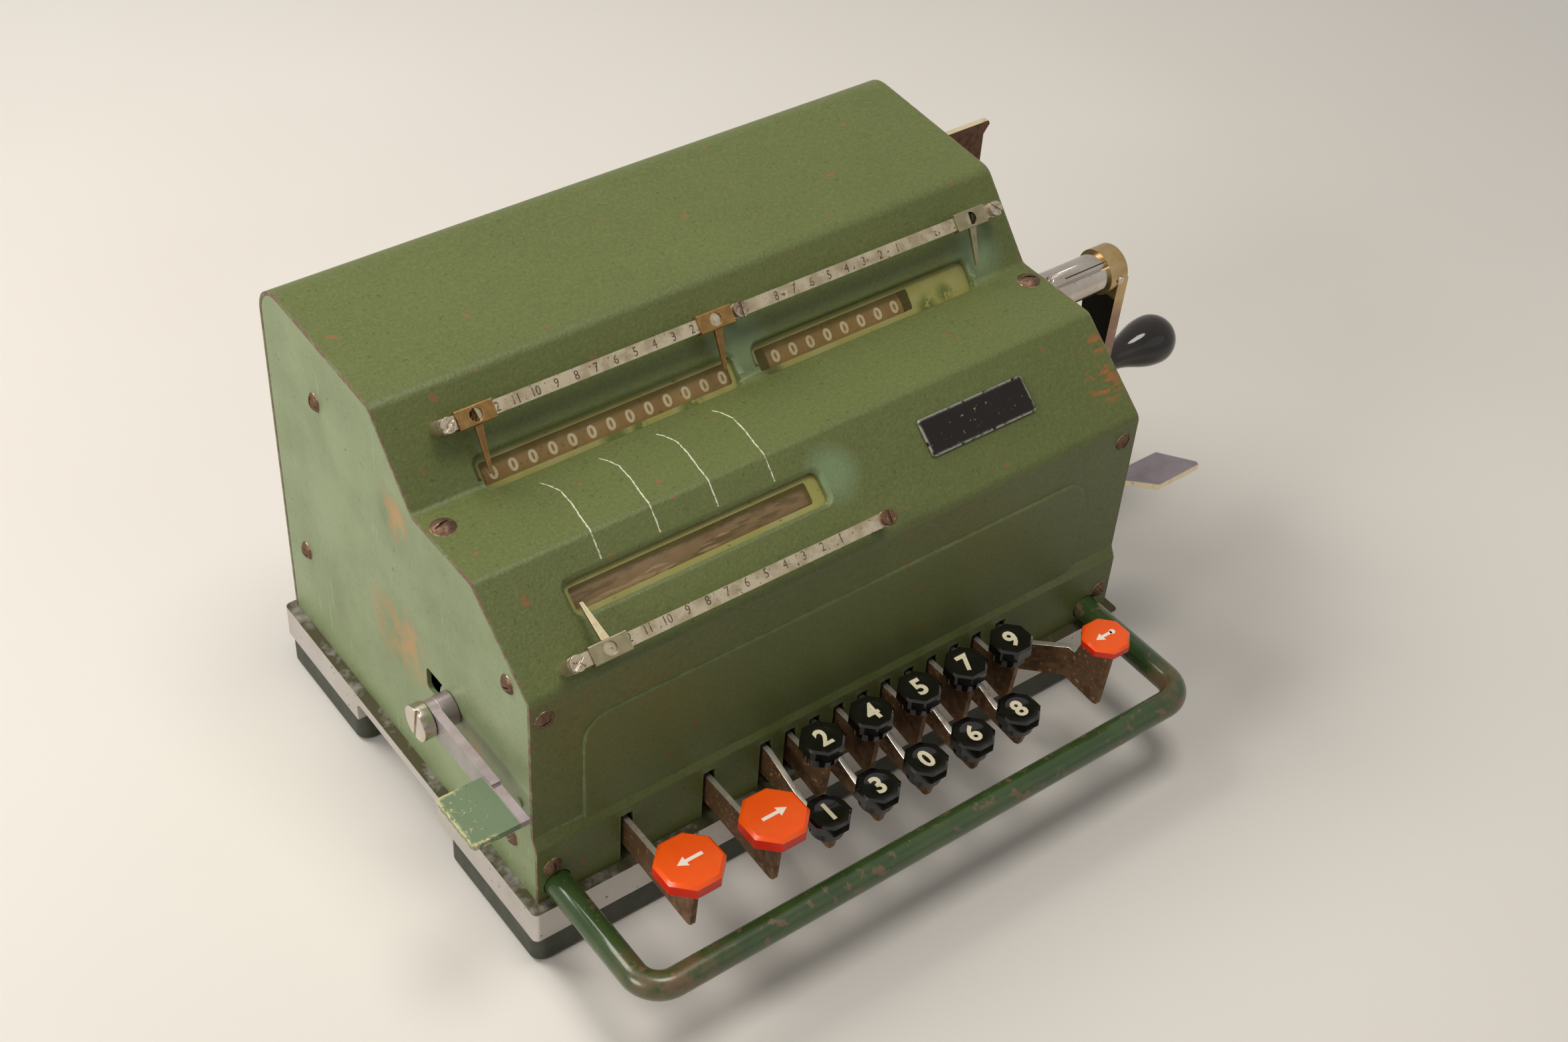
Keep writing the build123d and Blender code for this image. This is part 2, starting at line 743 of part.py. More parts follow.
def gear_at(axis, x, teeth, first_tooth):
    plane = Plane(origin=(x, axis[0], axis[1]), x_dir=(0, 1, 0), z_dir=(1, 0, 0))
    return plane * spur_gear(teeth, gear_width, first_tooth)


def idler_axis():
    """The idler meshes with both the crank's and the drum's gear, a little behind their line of centres."""
    reach = gear_module * (crank_teeth + idler_teeth) / 2
    dy, dz = drum_axis[0] - crank_axis[0], drum_axis[1] - crank_axis[1]
    span = hypot(dy, dz)
    aside = (reach ** 2 - span ** 2 / 4) ** 0.5
    return (crank_axis[0] + dy / 2 - dz / span * aside, crank_axis[1] + dz / 2 + dy / span * aside)


def tooth_angle(axis, teeth, tooth, other_axis, other_teeth):
    """The angle of a tooth on the other gear that meshes with this one, whose tooth is at tooth degrees."""
    toward = degrees(atan2(other_axis[1] - axis[1], other_axis[0] - axis[0]))
    pitch = 360 / teeth
    behind = (tooth - toward) % pitch
    return toward + 180 - behind * teeth / other_teeth + 180 / other_teeth


idler = idler_axis()
crank_tooth = degrees(atan2(idler[1] - crank_axis[1], idler[0] - crank_axis[0]))
idler_tooth = tooth_angle(crank_axis, crank_teeth, crank_tooth, idler, idler_teeth)
drum_tooth = tooth_angle(idler, idler_teeth, idler_tooth, drum_axis, crank_teeth)
idler_stud_radius = 3.5
grip_axis = (crank_axis[0] - crank_sweep, crank_axis[1] - crank_reach)


def frame_plate(x):
    """An upright of the mechanism, with a foot that stands on the base."""
    outline = case_face(cover_sheet + frame_inset)
    outline &= Pos(0, base_height + 100) * Rectangle(400, 200)
    plate = side_plate(outline, x, x + frame_sheet)
    inward = 1 if x < 0 else -1
    edge = x if inward > 0 else x + frame_sheet
    foot_x = sorted((edge, edge + inward * frame_flange))
    plate += block(foot_x, (lower_front_y + 16, rear_y - 16), (base_height, base_height + frame_sheet))
    return plate


def bearing(plate, axis, radius, x):
    return plate - along_x(axis, radius, x - 20, x + 20)


def frames():
    left, right = frame_plate(left_frame_x), frame_plate(right_frame_x)
    for axis in (register_axis, setting_axis, key_pivot):
        left = bearing(left, axis, shaft_radius, left_frame_x)
        right = bearing(right, axis, shaft_radius, right_frame_x)
    left = bearing(left, drum_axis, drum_shaft_radius + running_gap, left_frame_x)
    right = bearing(right, drum_axis, drum_shaft_radius + running_gap, right_frame_x)
    right = bearing(right, crank_axis, crank_shaft_radius + running_gap, right_frame_x)
    right += along_x(idler, idler_stud_radius, right_frame_x, gear_x + gear_width + 3)
    return left, right


def across_frames(axis, radius):
    return along_x(axis, radius, left_frame_x - 1.5, right_frame_x + frame_sheet + 1.5)


def key_stop_bar():
    """The bar under the levers' tails, on the frames' feet."""
    x = (left_frame_x + frame_sheet, right_frame_x)
    return block(x, stop_bar_y, (base_height + frame_sheet, lever_bottom_z - rest_gap))


def number_wheels(axis, places):
    """One register's wheels, each a digit rim with its ten-tooth gear, loose on the shaft."""
    wheels = []
    for x in places:
        low = x - (digit_pitch - wheel_gap) / 2
        high = low + digit_pitch - wheel_gap
        wheel = along_x(axis, wheel_radius, low, high - wheel_gear_width)
        wheel += along_x(axis, wheel_gear_radius - 1.4, low, high)
        for n in range(10):
            tooth = block((high - wheel_gear_width, high), (0, wheel_gear_radius), (-1.1, 1.1))
            wheel += Pos(0, axis[0], axis[1]) * Rot(36 * n, 0, 0) * tooth
        wheels.append(wheel - along_x(axis, shaft_radius + running_gap, low - 1, high + 1))
    return wheels


def result_places():
    return [first_digit_x + n * digit_pitch for n in range(result_digits)]


def counter_places():
    first = first_digit_x + (result_digits + 2) * digit_pitch
    return [first + n * digit_pitch for n in range(counter_digits)]


def drum_shaft():
    shaft = along_x(drum_axis, drum_shaft_radius, left_frame_x - 2, gear_x + gear_width + 2)
    spline = block((left_frame_x + frame_sheet + 0.5, right_frame_x - 0.5),
                   (drum_axis[0] - spline_width / 2, drum_axis[0] + spline_width / 2),
                   (drum_axis[1], drum_axis[1] + drum_shaft_radius + spline_height))
    return shaft + spline + gear_at(drum_axis, gear_x, crank_teeth, drum_tooth)


def drum_bore(x):
    bore = along_x(drum_axis, drum_shaft_radius + running_gap, x[0] - 1, x[1] + 1)
    half = spline_width / 2 + spline_gap
    return bore + block((x[0] - 1, x[1] + 1), (drum_axis[0] - half, drum_axis[0] + half),
                        (drum_axis[1], drum_axis[1] + drum_shaft_radius + spline_height + spline_gap))


def pin_disc(x, set_pins):
    """A disc with nine pins; the first set_pins of them are pushed out to work the registers."""
    disc = along_x(drum_axis, drum_disc_radius, x, x + drum_disc_sheet)
    for n in range(9):
        reach = drum_disc_radius + (drum_pin_length if n < set_pins else 0.8)
        pin = block((x + 0.5, x + drum_disc_sheet - 0.5), (-drum_pin_width / 2, drum_pin_width / 2),
                    (drum_disc_radius - 4, reach))
        disc += Pos(0, drum_axis[0], drum_axis[1]) * Rot(150 + 13 * n, 0, 0) * pin
    return disc - along_x(drum_axis, drum_hub_radius, x - 1, x + drum_disc_sheet + 1)


def pinwheel_drum():
    half = drum_discs * digit_pitch / 2
    span = (drum_centre_x - half - drum_flange_sheet, drum_centre_x + half + drum_flange_sheet)
    hub = along_x(drum_axis, drum_hub_radius, span[0], span[1])
    for x in (span[0], span[1] - drum_flange_sheet):
        hub += along_x(drum_axis, drum_flange_radius, x, x + drum_flange_sheet)
    discs = []
    for n in range(drum_discs):
        x = drum_centre_x - half + (n + 0.5) * digit_pitch - drum_disc_sheet / 2
        discs.append(pin_disc(x, n))
    return [hub - drum_bore(span)] + discs


def idler_gear():
    gear = gear_at(idler, gear_x, idler_teeth, idler_tooth)
    for n in range(5):
        angle = radians(72 * n)
        hole = (idler[0] + 10 * cos(angle), idler[1] + 10 * sin(angle))
        gear -= along_x(hole, 3.4, gear_x - 1, gear_x + gear_width + 1)
    return gear - along_x(idler, idler_stud_radius + running_gap, gear_x - 1, gear_x + gear_width + 1)


def crank_pin_place():
    return (barrel_end_x + crank_hub_end_x) / 2


def crank_shaft():
    shaft = along_x(crank_axis, crank_shaft_radius, right_frame_x - 2, barrel_start_x + 1)
    shaft += gear_at(crank_axis, gear_x, crank_teeth, crank_tooth)
    barrel = along_x(crank_axis, barrel_radius, barrel_start_x, barrel_end_x)
    barrel += along_x(crank_axis, crank_shaft_radius, barrel_end_x, crank_hub_end_x - 1.5)
    groove = Pos(0, crank_axis[0], crank_axis[1]) * Rot(42, 0, 0)
    barrel -= groove * block((half_case + 2.5, barrel_end_x), (-0.35, 0.35),
                             (barrel_radius - 0.6, barrel_radius + 1))
    oil_hole = Plane(origin=(half_case + 7, *crank_axis), z_dir=(0, -0.2, 1))
    barrel -= oil_hole * extrude(Circle(1.3), barrel_radius + 2)
    return shaft + barrel - crank_pin()


def crank_pin():
    return along_y(crank_pin_place(), crank_axis[1], crank_pin_radius,
                   crank_axis[0] - crank_hub_radius - 0.4, crank_axis[0] + crank_hub_radius + 0.4)


def crank_arm():
    """The hub on the barrel's end, the arm down to the grip and the spindle that the grip turns on."""
    hub = along_x(crank_axis, crank_hub_radius, barrel_end_x, crank_hub_end_x)
    hub = fillet(hub.edges().filter_by(GeomType.CIRCLE).sort_by(Axis.X)[-1], 1.6)
    arm_x = (crank_hub_end_x - crank_arm_sheet, crank_hub_end_x)
    y, z = crank_axis
    bar = polygon([
        (y - crank_hub_radius, z), (y + crank_hub_radius, z),
        (grip_axis[0] + crank_arm_end_radius, grip_axis[1]),
        (grip_axis[0] - crank_arm_end_radius, grip_axis[1]),
    ])
    bar += Pos(*grip_axis) * Circle(crank_arm_end_radius)
    arm = hub + side_plate(bar, arm_x[0], arm_x[1] - 0.4)
    arm += along_x(grip_axis, grip_spindle_radius, arm_x[1] - 1, grip_end_x - 8)
    arm -= along_x(crank_axis, crank_shaft_radius, barrel_end_x - 1, crank_hub_end_x - 1.5)
    return arm - crank_pin()


def crank_grip():
    """A pear-shaped grip, turned about x."""
    start = crank_hub_end_x - 0.4 + rest_gap
    bulb_x = grip_end_x - grip_bulb_radius
    neck_x = start + 5
    swell = Spline(
        (neck_x, grip_neck_radius), ((neck_x + bulb_x) / 2, (grip_neck_radius + grip_bulb_radius) / 2),
        (bulb_x, grip_bulb_radius), tangents=[(1, 0), (1, 0)],
    )
    bore = grip_spindle_radius + running_gap
    bore_end = grip_end_x - 7
    nose_middle = (bulb_x + grip_bulb_radius * cos(pi / 4), grip_bulb_radius * sin(pi / 4))
    outline = make_face(
        Polyline((grip_end_x, 0), (bore_end, 0), (bore_end, bore), (start, bore),
                 (start, grip_neck_radius - 1.0), (start + 1.0, grip_neck_radius), (neck_x, grip_neck_radius))
        + swell
        + ThreePointArc((bulb_x, grip_bulb_radius), nose_middle, (grip_end_x, 0))
    )
    grip = revolve(outline, Axis.X)
    return Pos(0, grip_axis[0], grip_axis[1]) * grip


# ---- clearing levers ----
def lever_arm(side, pivot, end):
    """A flat arm beside a panel, from its pivot boss to end, both (y, z)."""
    half = lever_arm_height / 2
    length = hypot(end[0] - pivot[0], end[1] - pivot[1])
    angle = degrees(atan2(end[1] - pivot[1], end[0] - pivot[0]))
    bar = Pos(*pivot) * Rot(0, 0, angle) * Pos(length / 2, 0) * Rectangle(length, 2 * half)
    bar += Pos(*pivot) * Circle(half + 0.6)
    x = sorted((side * front_lever_inner_x, side * front_lever_outer_x))
    arm = side_plate(bar, x[0], x[1])
    boss_x = side * (panel_face_x + rest_gap)
    arm += along_x(pivot, lever_screw_head - 0.5, boss_x, side * front_lever_inner_x)
    return arm


def lever_pivot_bore(side, pivot):
    return along_x(pivot, lever_screw_radius + running_gap, side * (panel_face_x - 1),
                   side * (front_lever_outer_x + 1))


def left_clearing_lever():
    arm = lever_arm(-1, front_lever_pivot, (left_tab_y[1] - 5, front_lever_pivot[1]))
    x = (left_tab_outer_x, -front_lever_inner_x)
    tab = block(x, left_tab_y, (tab_top_z - tab_sheet, tab_top_z))
    tab = fillet(tab.edges().filter_by(Axis.Z).group_by(Axis.X)[0], 1.6)
    return arm + tab - lever_pivot_bore(-1, front_lever_pivot)


def right_front_clearing_lever():
    arm = lever_arm(1, front_lever_pivot, (right_tab_outline[-1][1], front_lever_pivot[1]))
    outline = polygon([(front_lever_inner_x + x, y) for x, y in right_tab_outline])
    tab = Pos(0, 0, tab_top_z - tab_sheet) * extrude(outline, tab_sheet)
    return arm + tab - lever_pivot_bore(1, front_lever_pivot)


def right_rear_clearing_lever():
    y, z = rear_lever_pivot
    foot_z = rear_tab_top_z - rear_tab_height
    arm = lever_arm(1, rear_lever_pivot, (y, foot_z + 6))
    left, right = front_lever_inner_x, front_lever_inner_x + rear_tab_width
    outline = polygon([
        (left, foot_z), (right, foot_z), (right, rear_tab_top_z - 5),
        (right + rear_tab_flare, rear_tab_top_z - 1.5), (right + rear_tab_flare - 0.8, rear_tab_top_z),
        (left, rear_tab_top_z),
    ])
    plane = Plane(origin=(0, y + tab_sheet / 2, 0), x_dir=(1, 0, 0), z_dir=(0, -1, 0))
    return arm + plane * extrude(outline, tab_sheet) - lever_pivot_bore(1, rear_lever_pivot)


def lever_pivot_screw(side, pivot, turn):
    """A shoulder screw with a tall slotted head."""
    head_x = side * (front_lever_outer_x + rest_gap)
    end_x = side * (front_lever_outer_x + rest_gap + lever_screw_head_height)
    head = along_x(pivot, lever_screw_head, head_x, end_x)
    slot = Pos(end_x, *pivot) * Rot(turn, 0, 0) * Box(2.4, 4 * lever_screw_head, 1.3)
    shank = along_x(pivot, lever_screw_radius, head_x, side * (panel_face_x - 5))
    return (head - slot) + shank


def lever_pivot_screws():
    return [
        lever_pivot_screw(-1, front_lever_pivot, 100),
        lever_pivot_screw(1, front_lever_pivot, 20),
        lever_pivot_screw(1, rear_lever_pivot, 65),
    ]


def build_all():
    os.makedirs("parts", exist_ok=True)
    save("base_plate", base_plate())
    save("feet", *feet())
    save("top_cover", top_cover())
    save("left_side_panel", left_side_panel())
    save("right_side_panel", right_side_panel())
    save("case_screws", *case_screws(), *side_panel_screws())
    save("register_windows", *register_windows())
    save("name_plate", name_plate())
    upper_rail = rail(steep, upper_rail_up, upper_rail_screws)
    lower_rail = rail(front_slope, lower_rail_up, lower_rail_screws)
    save("pointer_rails", upper_rail, lower_rail)
    save("rail_screws", *rail_screws())
    save("carrying_bar", carrying_bar())
    for name, place in pointer_places.items():
        save(name, decimal_pointer(*place))
    for key in number_keys:
        number_key(key)
    for name, sizes in function_keys.items():
        function_key(name, sizes)
    left, right = frames()
    save("left_frame", left)
    save("right_frame", right)
    save("key_pivot_shaft", across_frames(key_pivot, shaft_radius))
    save("key_stop_bar", key_stop_bar())
    shafts = [across_frames(axis, shaft_radius) for axis in (register_axis, setting_axis)]
    save("register_shafts", *shafts)
    save("result_wheels", *number_wheels(register_axis, result_places()))
    save("counter_wheels", *number_wheels(register_axis, counter_places()))
    save("setting_wheels", *number_wheels(setting_axis, result_places()))
    save("drum_shaft", drum_shaft())
    save("pinwheel_drum", *pinwheel_drum())
    save("idler_gear", idler_gear())
    save("crank_shaft", crank_shaft())
    save("crank_pin", crank_pin())
    save("crank_arm", crank_arm())
    save("crank_grip", crank_grip())
    save("left_clearing_lever", left_clearing_lever())
    save("right_front_clearing_lever", right_front_clearing_lever())
    save("right_rear_clearing_lever", right_rear_clearing_lever())
    save("lever_pivot_screws", *lever_pivot_screws())


build_all()
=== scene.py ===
import json
import math
import random
import bpy
from mathutils import Matrix, Vector


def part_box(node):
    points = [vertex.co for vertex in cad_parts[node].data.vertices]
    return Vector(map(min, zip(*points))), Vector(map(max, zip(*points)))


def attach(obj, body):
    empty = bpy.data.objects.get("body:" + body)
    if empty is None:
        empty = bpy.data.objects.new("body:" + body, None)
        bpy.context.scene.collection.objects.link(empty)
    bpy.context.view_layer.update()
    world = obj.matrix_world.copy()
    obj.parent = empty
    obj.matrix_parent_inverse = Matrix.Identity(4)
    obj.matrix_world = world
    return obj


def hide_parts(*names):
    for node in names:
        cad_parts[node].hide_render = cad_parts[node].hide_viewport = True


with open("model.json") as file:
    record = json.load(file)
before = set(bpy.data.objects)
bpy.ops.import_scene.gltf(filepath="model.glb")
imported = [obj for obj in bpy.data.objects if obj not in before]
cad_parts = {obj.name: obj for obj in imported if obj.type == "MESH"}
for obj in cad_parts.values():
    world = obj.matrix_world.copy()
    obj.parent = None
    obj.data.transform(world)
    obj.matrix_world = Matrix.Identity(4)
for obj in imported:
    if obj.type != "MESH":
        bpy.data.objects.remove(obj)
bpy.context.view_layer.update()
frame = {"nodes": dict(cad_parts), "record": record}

mm = 0.001
random.seed(7)

# Places are written in the machine's own millimetres: x from the middle of the case, y back from the
# front of the base, z up from the underside of the base. The frame gives where those are in metres.
coverLow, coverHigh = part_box("top_cover")
middleX = (coverLow.x + coverHigh.x) / 2
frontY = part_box("base_plate")[0].y
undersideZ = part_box("feet")[1].z


def at(x, y, z):
    return Vector((middleX + x * mm, frontY + y * mm, undersideZ + z * mm))


def slopeMatrix(low, high, mark):
    # local millimetres (along the case, up the slope, out of it) to metres
    up = Vector((0, high[0] - low[0], high[1] - low[1])).normalized()
    out = Vector((0, -up.z, up.y))
    start = at(0, low[0] + mark * up.y, low[1] + mark * up.z)
    turn = Matrix(((1, 0, 0, start.x), (0, up.y, out.y, start.y), (0, up.z, out.z, start.z), (0, 0, 0, 1)))
    return turn @ Matrix.Scale(mm, 4)


steepSlope = slopeMatrix((68.1, 121.0), (90.6, 145.9), 2.3)
frontSlope = slopeMatrix((6.0, 97.4), (35.6, 121.0), 22.1)
machine = Matrix.Translation(at(0, 0, 0)) @ Matrix.Scale(mm, 4)

bodyOf = {}
for bodyName, members in frame["record"]["behaviour"]["bodies"].items():
    for member in members:
        bodyOf[member] = bodyName


# camera, floor and light
stageLook = {
    "lens": 50.38,
    "cameraPlace": (-0.35254, -0.40569, 0.55633),
    "cameraForward": (0.47443, 0.57005, -0.67079),
    "cameraRight": (0.80019, -0.59687, 0.05872),
    "floorColour": "#ded9d1",
    "worldColour": "#ecebe8",
    "worldStrength": 0.2,
    "backdropStrength": 0.62,
    "floorSize": 8.0,
    "floorFade": (0.45, 1.5),  # metres from the middle, where the fade begins and ends
    "lamps": [  # name, place, aim, size in metres, watts, colour
        ("keyLamp", (-0.55, 0.75, 1.05), (0.0, 0.0, 0.05), 0.7, 11.0, "#fffaf4"),
        ("topLamp", (0.05, -0.12, 1.3), (0.0, 0.0, 0.05), 0.5, 5.5, "#fffaf4"),
        ("sideLamp", (-1.55, -0.1, 0.85), (0.0, 0.0, 0.06), 0.7, 10.5, "#fffcf8"),
        ("frontLamp", (0.55, -1.2, 0.8), (0.0, 0.0, 0.05), 0.9, 0.4, "#fff8f0"),
    ],
}


def linearColour(hexColour):
    # the value that a node wants for a colour picked on screen
    parts = [int(hexColour[i:i + 2], 16) / 255 for i in (1, 3, 5)]
    return tuple(c / 12.92 if c <= 0.04045 else ((c + 0.055) / 1.055) ** 2.4 for c in parts) + (1.0,)


def addNode(tree, kind, settings, links=None):
    node = tree.nodes.new(kind)
    for key, value in settings.items():
        if isinstance(key, int) or key in node.inputs:
            node.inputs[key].default_value = value
        else:
            setattr(node, key, value)
    for key, source in (links or {}).items():
        tree.links.new(source, node.inputs[key])
    return node


def rayMask(tree, kinds):
    # 1 for rays of the named kinds
    paths = addNode(tree, 'ShaderNodeLightPath', {})
    mask = paths.outputs[kinds[0]]
    for kind in kinds[1:]:
        mask = addNode(tree, 'ShaderNodeMath', {"operation": 'MAXIMUM'},
                       {0: mask, 1: paths.outputs[kind]}).outputs[0]
    return mask


def ramp(tree, value, start, full, top=1.0):
    # rises from 0 at start to top at full, and stays there
    return addNode(tree, 'ShaderNodeMapRange', {"From Min": start, "From Max": full, "To Max": top},
                   {"Value": value}).outputs[0]


def selectOnly(piece):
    bpy.ops.object.select_all(action='DESELECT')
    piece.select_set(True)
    bpy.context.view_layer.objects.active = piece


cameraData = bpy.data.cameras.new("photoCamera")
cameraData.sensor_fit = 'HORIZONTAL'
cameraData.sensor_width = 36.0
cameraData.lens = stageLook["lens"]
cameraData.clip_start = 0.01
camera = bpy.data.objects.new("photoCamera", cameraData)
bpy.context.scene.collection.objects.link(camera)
backward = -Vector(stageLook["cameraForward"]).normalized()
right = Vector(stageLook["cameraRight"]).normalized()
upward = backward.cross(right).normalized()
camera.matrix_world = Matrix.Translation(Vector(stageLook["cameraPlace"])) @ Matrix(
    (right, upward, backward)).transposed().to_4x4()
bpy.context.scene.camera = camera
bpy.context.scene.view_settings.view_transform = 'Standard'

for name, place, aim, size, watts, colour in stageLook["lamps"]:
    lampData = bpy.data.lights.new(name, 'AREA')
    lampData.shape = 'DISK'
    lampData.size = size
    lampData.energy = watts
    lampData.color = linearColour(colour)[:3]
    lamp = bpy.data.objects.new(name, lampData)
    bpy.context.scene.collection.objects.link(lamp)
    lamp.matrix_world = Matrix.Translation(place) @ (
        Vector(aim) - Vector(place)).to_track_quat('-Z', 'Y').to_matrix().to_4x4()

world = bpy.data.worlds.new("studio")
bpy.context.scene.world = world
world.use_nodes = True
sky = world.node_tree
sky.nodes.clear()
seen = rayMask(sky, ["Is Camera Ray", "Is Glossy Ray", "Is Transmission Ray"])
glow = addNode(sky, 'ShaderNodeBackground', {"Color": linearColour(stageLook["worldColour"]),
                                             "Strength": stageLook["worldStrength"]})
backdrop = addNode(sky, 'ShaderNodeBackground', {"Color": linearColour(stageLook["worldColour"]),
                                                 "Strength": stageLook["backdropStrength"]})
skyMix = addNode(sky, 'ShaderNodeMixShader', {},
                 {0: seen, 1: glow.outputs[0], 2: backdrop.outputs[0]})
addNode(sky, 'ShaderNodeOutputWorld', {}, {"Surface": skyMix.outputs[0]})


# finishes
edgeTurn = (0.995, 0.93)  # how far a rounded normal leans where an edge's wear or painted highlight begins and is full
spotCore = 0.35  # the part of a spot's radius that is at full strength


def layerMask(tree, coords, layer):
    # 1 where the layer shows: a cloud of the given size, times where on the piece it may lie
    cloudSource = coords
    if "stretch" in layer:  # long streaks: the pattern is squeezed across them
        cloudSource = addNode(tree, 'ShaderNodeMapping', {"Scale": layer["stretch"],
                              "Rotation": layer.get("turn", (0, 0, 0))}, {"Vector": coords}).outputs[0]
    cloud = addNode(tree, 'ShaderNodeTexNoise', {"Scale": 1 / (layer["size"] * mm),
                    "Detail": layer.get("detail", 3.0), "Roughness": 0.6}, {"Vector": cloudSource})
    low, high = layer["reach"]
    mask = ramp(tree, cloud.outputs[0], low, high, layer.get("amount", 1.0))
    limits = []
    if "edge" in layer:  # the rim of the sheet, where hands and cloths rub, and where the case has a painted highlight
        rounded = addNode(tree, 'ShaderNodeBevel', {"samples": 4, "Radius": layer["edge"] * mm})
        flat = addNode(tree, 'ShaderNodeNewGeometry', {})
        nearness = addNode(tree, 'ShaderNodeVectorMath', {"operation": 'DOT_PRODUCT'},
                           {0: rounded.outputs[0], 1: flat.outputs["Normal"]})
        limits.append(ramp(tree, nearness.outputs["Value"], *edgeTurn))
    if "facing" in layer:  # how far the surface faces a direction
        direction, start, full = layer["facing"]
        flat = addNode(tree, 'ShaderNodeNewGeometry', {})
        turned = addNode(tree, 'ShaderNodeVectorMath', {"operation": 'DOT_PRODUCT', 1: direction},
                         {0: flat.outputs["Normal"]})
        limits.append(ramp(tree, turned.outputs["Value"], start, full))
    if "slab" in layer:  # between two places along an axis, in the machine's millimetres
        axis, start, full = layer["slab"]
        number = "xyz".index(axis)
        origin = at(0, 0, 0)[number]
        split = addNode(tree, 'ShaderNodeSeparateXYZ', {}, {0: coords})
        limits.append(ramp(tree, split.outputs[number], origin + start * mm, origin + full * mm))
    if "rimX" in layer:  # both side edges of the case
        start, full = layer["rimX"]
        split = addNode(tree, 'ShaderNodeSeparateXYZ', {}, {0: coords})
        side = addNode(tree, 'ShaderNodeMath', {"operation": 'SUBTRACT', 1: middleX}, {0: split.outputs[0]})
        side = addNode(tree, 'ShaderNodeMath', {"operation": 'ABSOLUTE'}, {0: side.outputs[0]})
        limits.append(ramp(tree, side.outputs[0], start * mm, full * mm))
    if "spots" in layer:  # round places that are rubbed or stained, or painted lighter or darker as light and shade, each with its radius
        total = None
        for x, y, z, radius in layer["spots"]:
            distance = addNode(tree, 'ShaderNodeVectorMath', {"operation": 'DISTANCE', 1: at(x, y, z)},
                               {0: coords})
            near = ramp(tree, distance.outputs["Value"], radius * mm, radius * spotCore * mm)
            total = near if total is None else addNode(
                tree, 'ShaderNodeMath', {"operation": 'MAXIMUM'}, {0: total, 1: near}).outputs[0]
        limits.append(total)
    for limit in limits:
        mask = addNode(tree, 'ShaderNodeMath', {"operation": 'MULTIPLY'}, {0: mask, 1: limit}).outputs[0]
    return mask


def makeFinish(name, look):
    material = bpy.data.materials.new(name)
    material.use_nodes = True
    tree = material.node_tree
    shader = tree.nodes["Principled BSDF"]
    coords = addNode(tree, 'ShaderNodeTexCoord', {}).outputs["Object"]
    shader.inputs["Base Color"].default_value = linearColour(look["colour"])
    shader.inputs["Roughness"].default_value = look["rough"]
    shader.inputs["Metallic"].default_value = look.get("metal", 0.0)
    for socket, value in look.get("shader", {}).items():
        shader.inputs[socket].default_value = value
    base = {"rough": look["rough"], "metal": look.get("metal", 0.0)}
    layers = look.get("layers", [])
    varied = [kind for kind in base if any(kind in layer for layer in layers)]
    results = {}
    for layer in layers:
        mask = layerMask(tree, coords, layer)
        tint = addNode(tree, 'ShaderNodeMix', {"data_type": 'RGBA', 6: linearColour(look["colour"]),
                       7: linearColour(layer["colour"])}, {0: mask})
        if "colour" in results:
            tree.links.new(results["colour"], tint.inputs[6])
        results["colour"] = tint.outputs[2]
        for kind in varied:
            blend = addNode(tree, 'ShaderNodeMix', {2: base[kind], 3: layer.get(kind, base[kind])}, {0: mask})
            if kind in results:
                tree.links.new(results[kind], blend.inputs[2])
            results[kind] = blend.outputs[0]
    sockets = {"colour": "Base Color", "rough": "Roughness", "metal": "Metallic"}
    for kind, source in results.items():
        tree.links.new(source, shader.inputs[sockets[kind]])
    normal = None
    for grain in look.get("grain", []):  # size and depth in millimetres
        source = coords
        if "stretch" in grain:
            source = addNode(tree, 'ShaderNodeMapping', {"Scale": grain["stretch"]},
                             {"Vector": coords}).outputs[0]
        cloud = addNode(tree, 'ShaderNodeTexNoise', {"Scale": 1 / (grain["size"] * mm), "Detail": 2.0},
                        {"Vector": source})
        bump = addNode(tree, 'ShaderNodeBump', {"Strength": grain.get("strength", 1.0),
                       "Distance": grain["depth"] * mm}, {"Height": cloud.outputs[0]})
        if normal:
            tree.links.new(normal, bump.inputs["Normal"])
        normal = bump.outputs[0]
    if normal:
        tree.links.new(normal, shader.inputs["Normal"])
    return material


greenPaint = {  # the sprayed enamel of the case: a fine stipple that breaks up every highlight
    "colour": "#58612e", "rough": 0.44,
    "grain": [{"size": 0.9, "depth": 0.1}, {"size": 9.0, "depth": 0.12}],
    "layers": [
        {"size": 45.0, "reach": (0.35, 0.75), "colour": "#606935", "amount": 0.6},
        {"size": 1.1, "reach": (0.42, 0.8), "colour": "#737d48", "amount": 0.55},
        {"size": 1.6, "reach": (0.62, 0.72), "colour": "#383f1c", "amount": 0.6},
    ],
}


def painted(extra, **changes):
    look = dict(greenPaint, **changes)
    look["layers"] = greenPaint["layers"] + extra
    return look
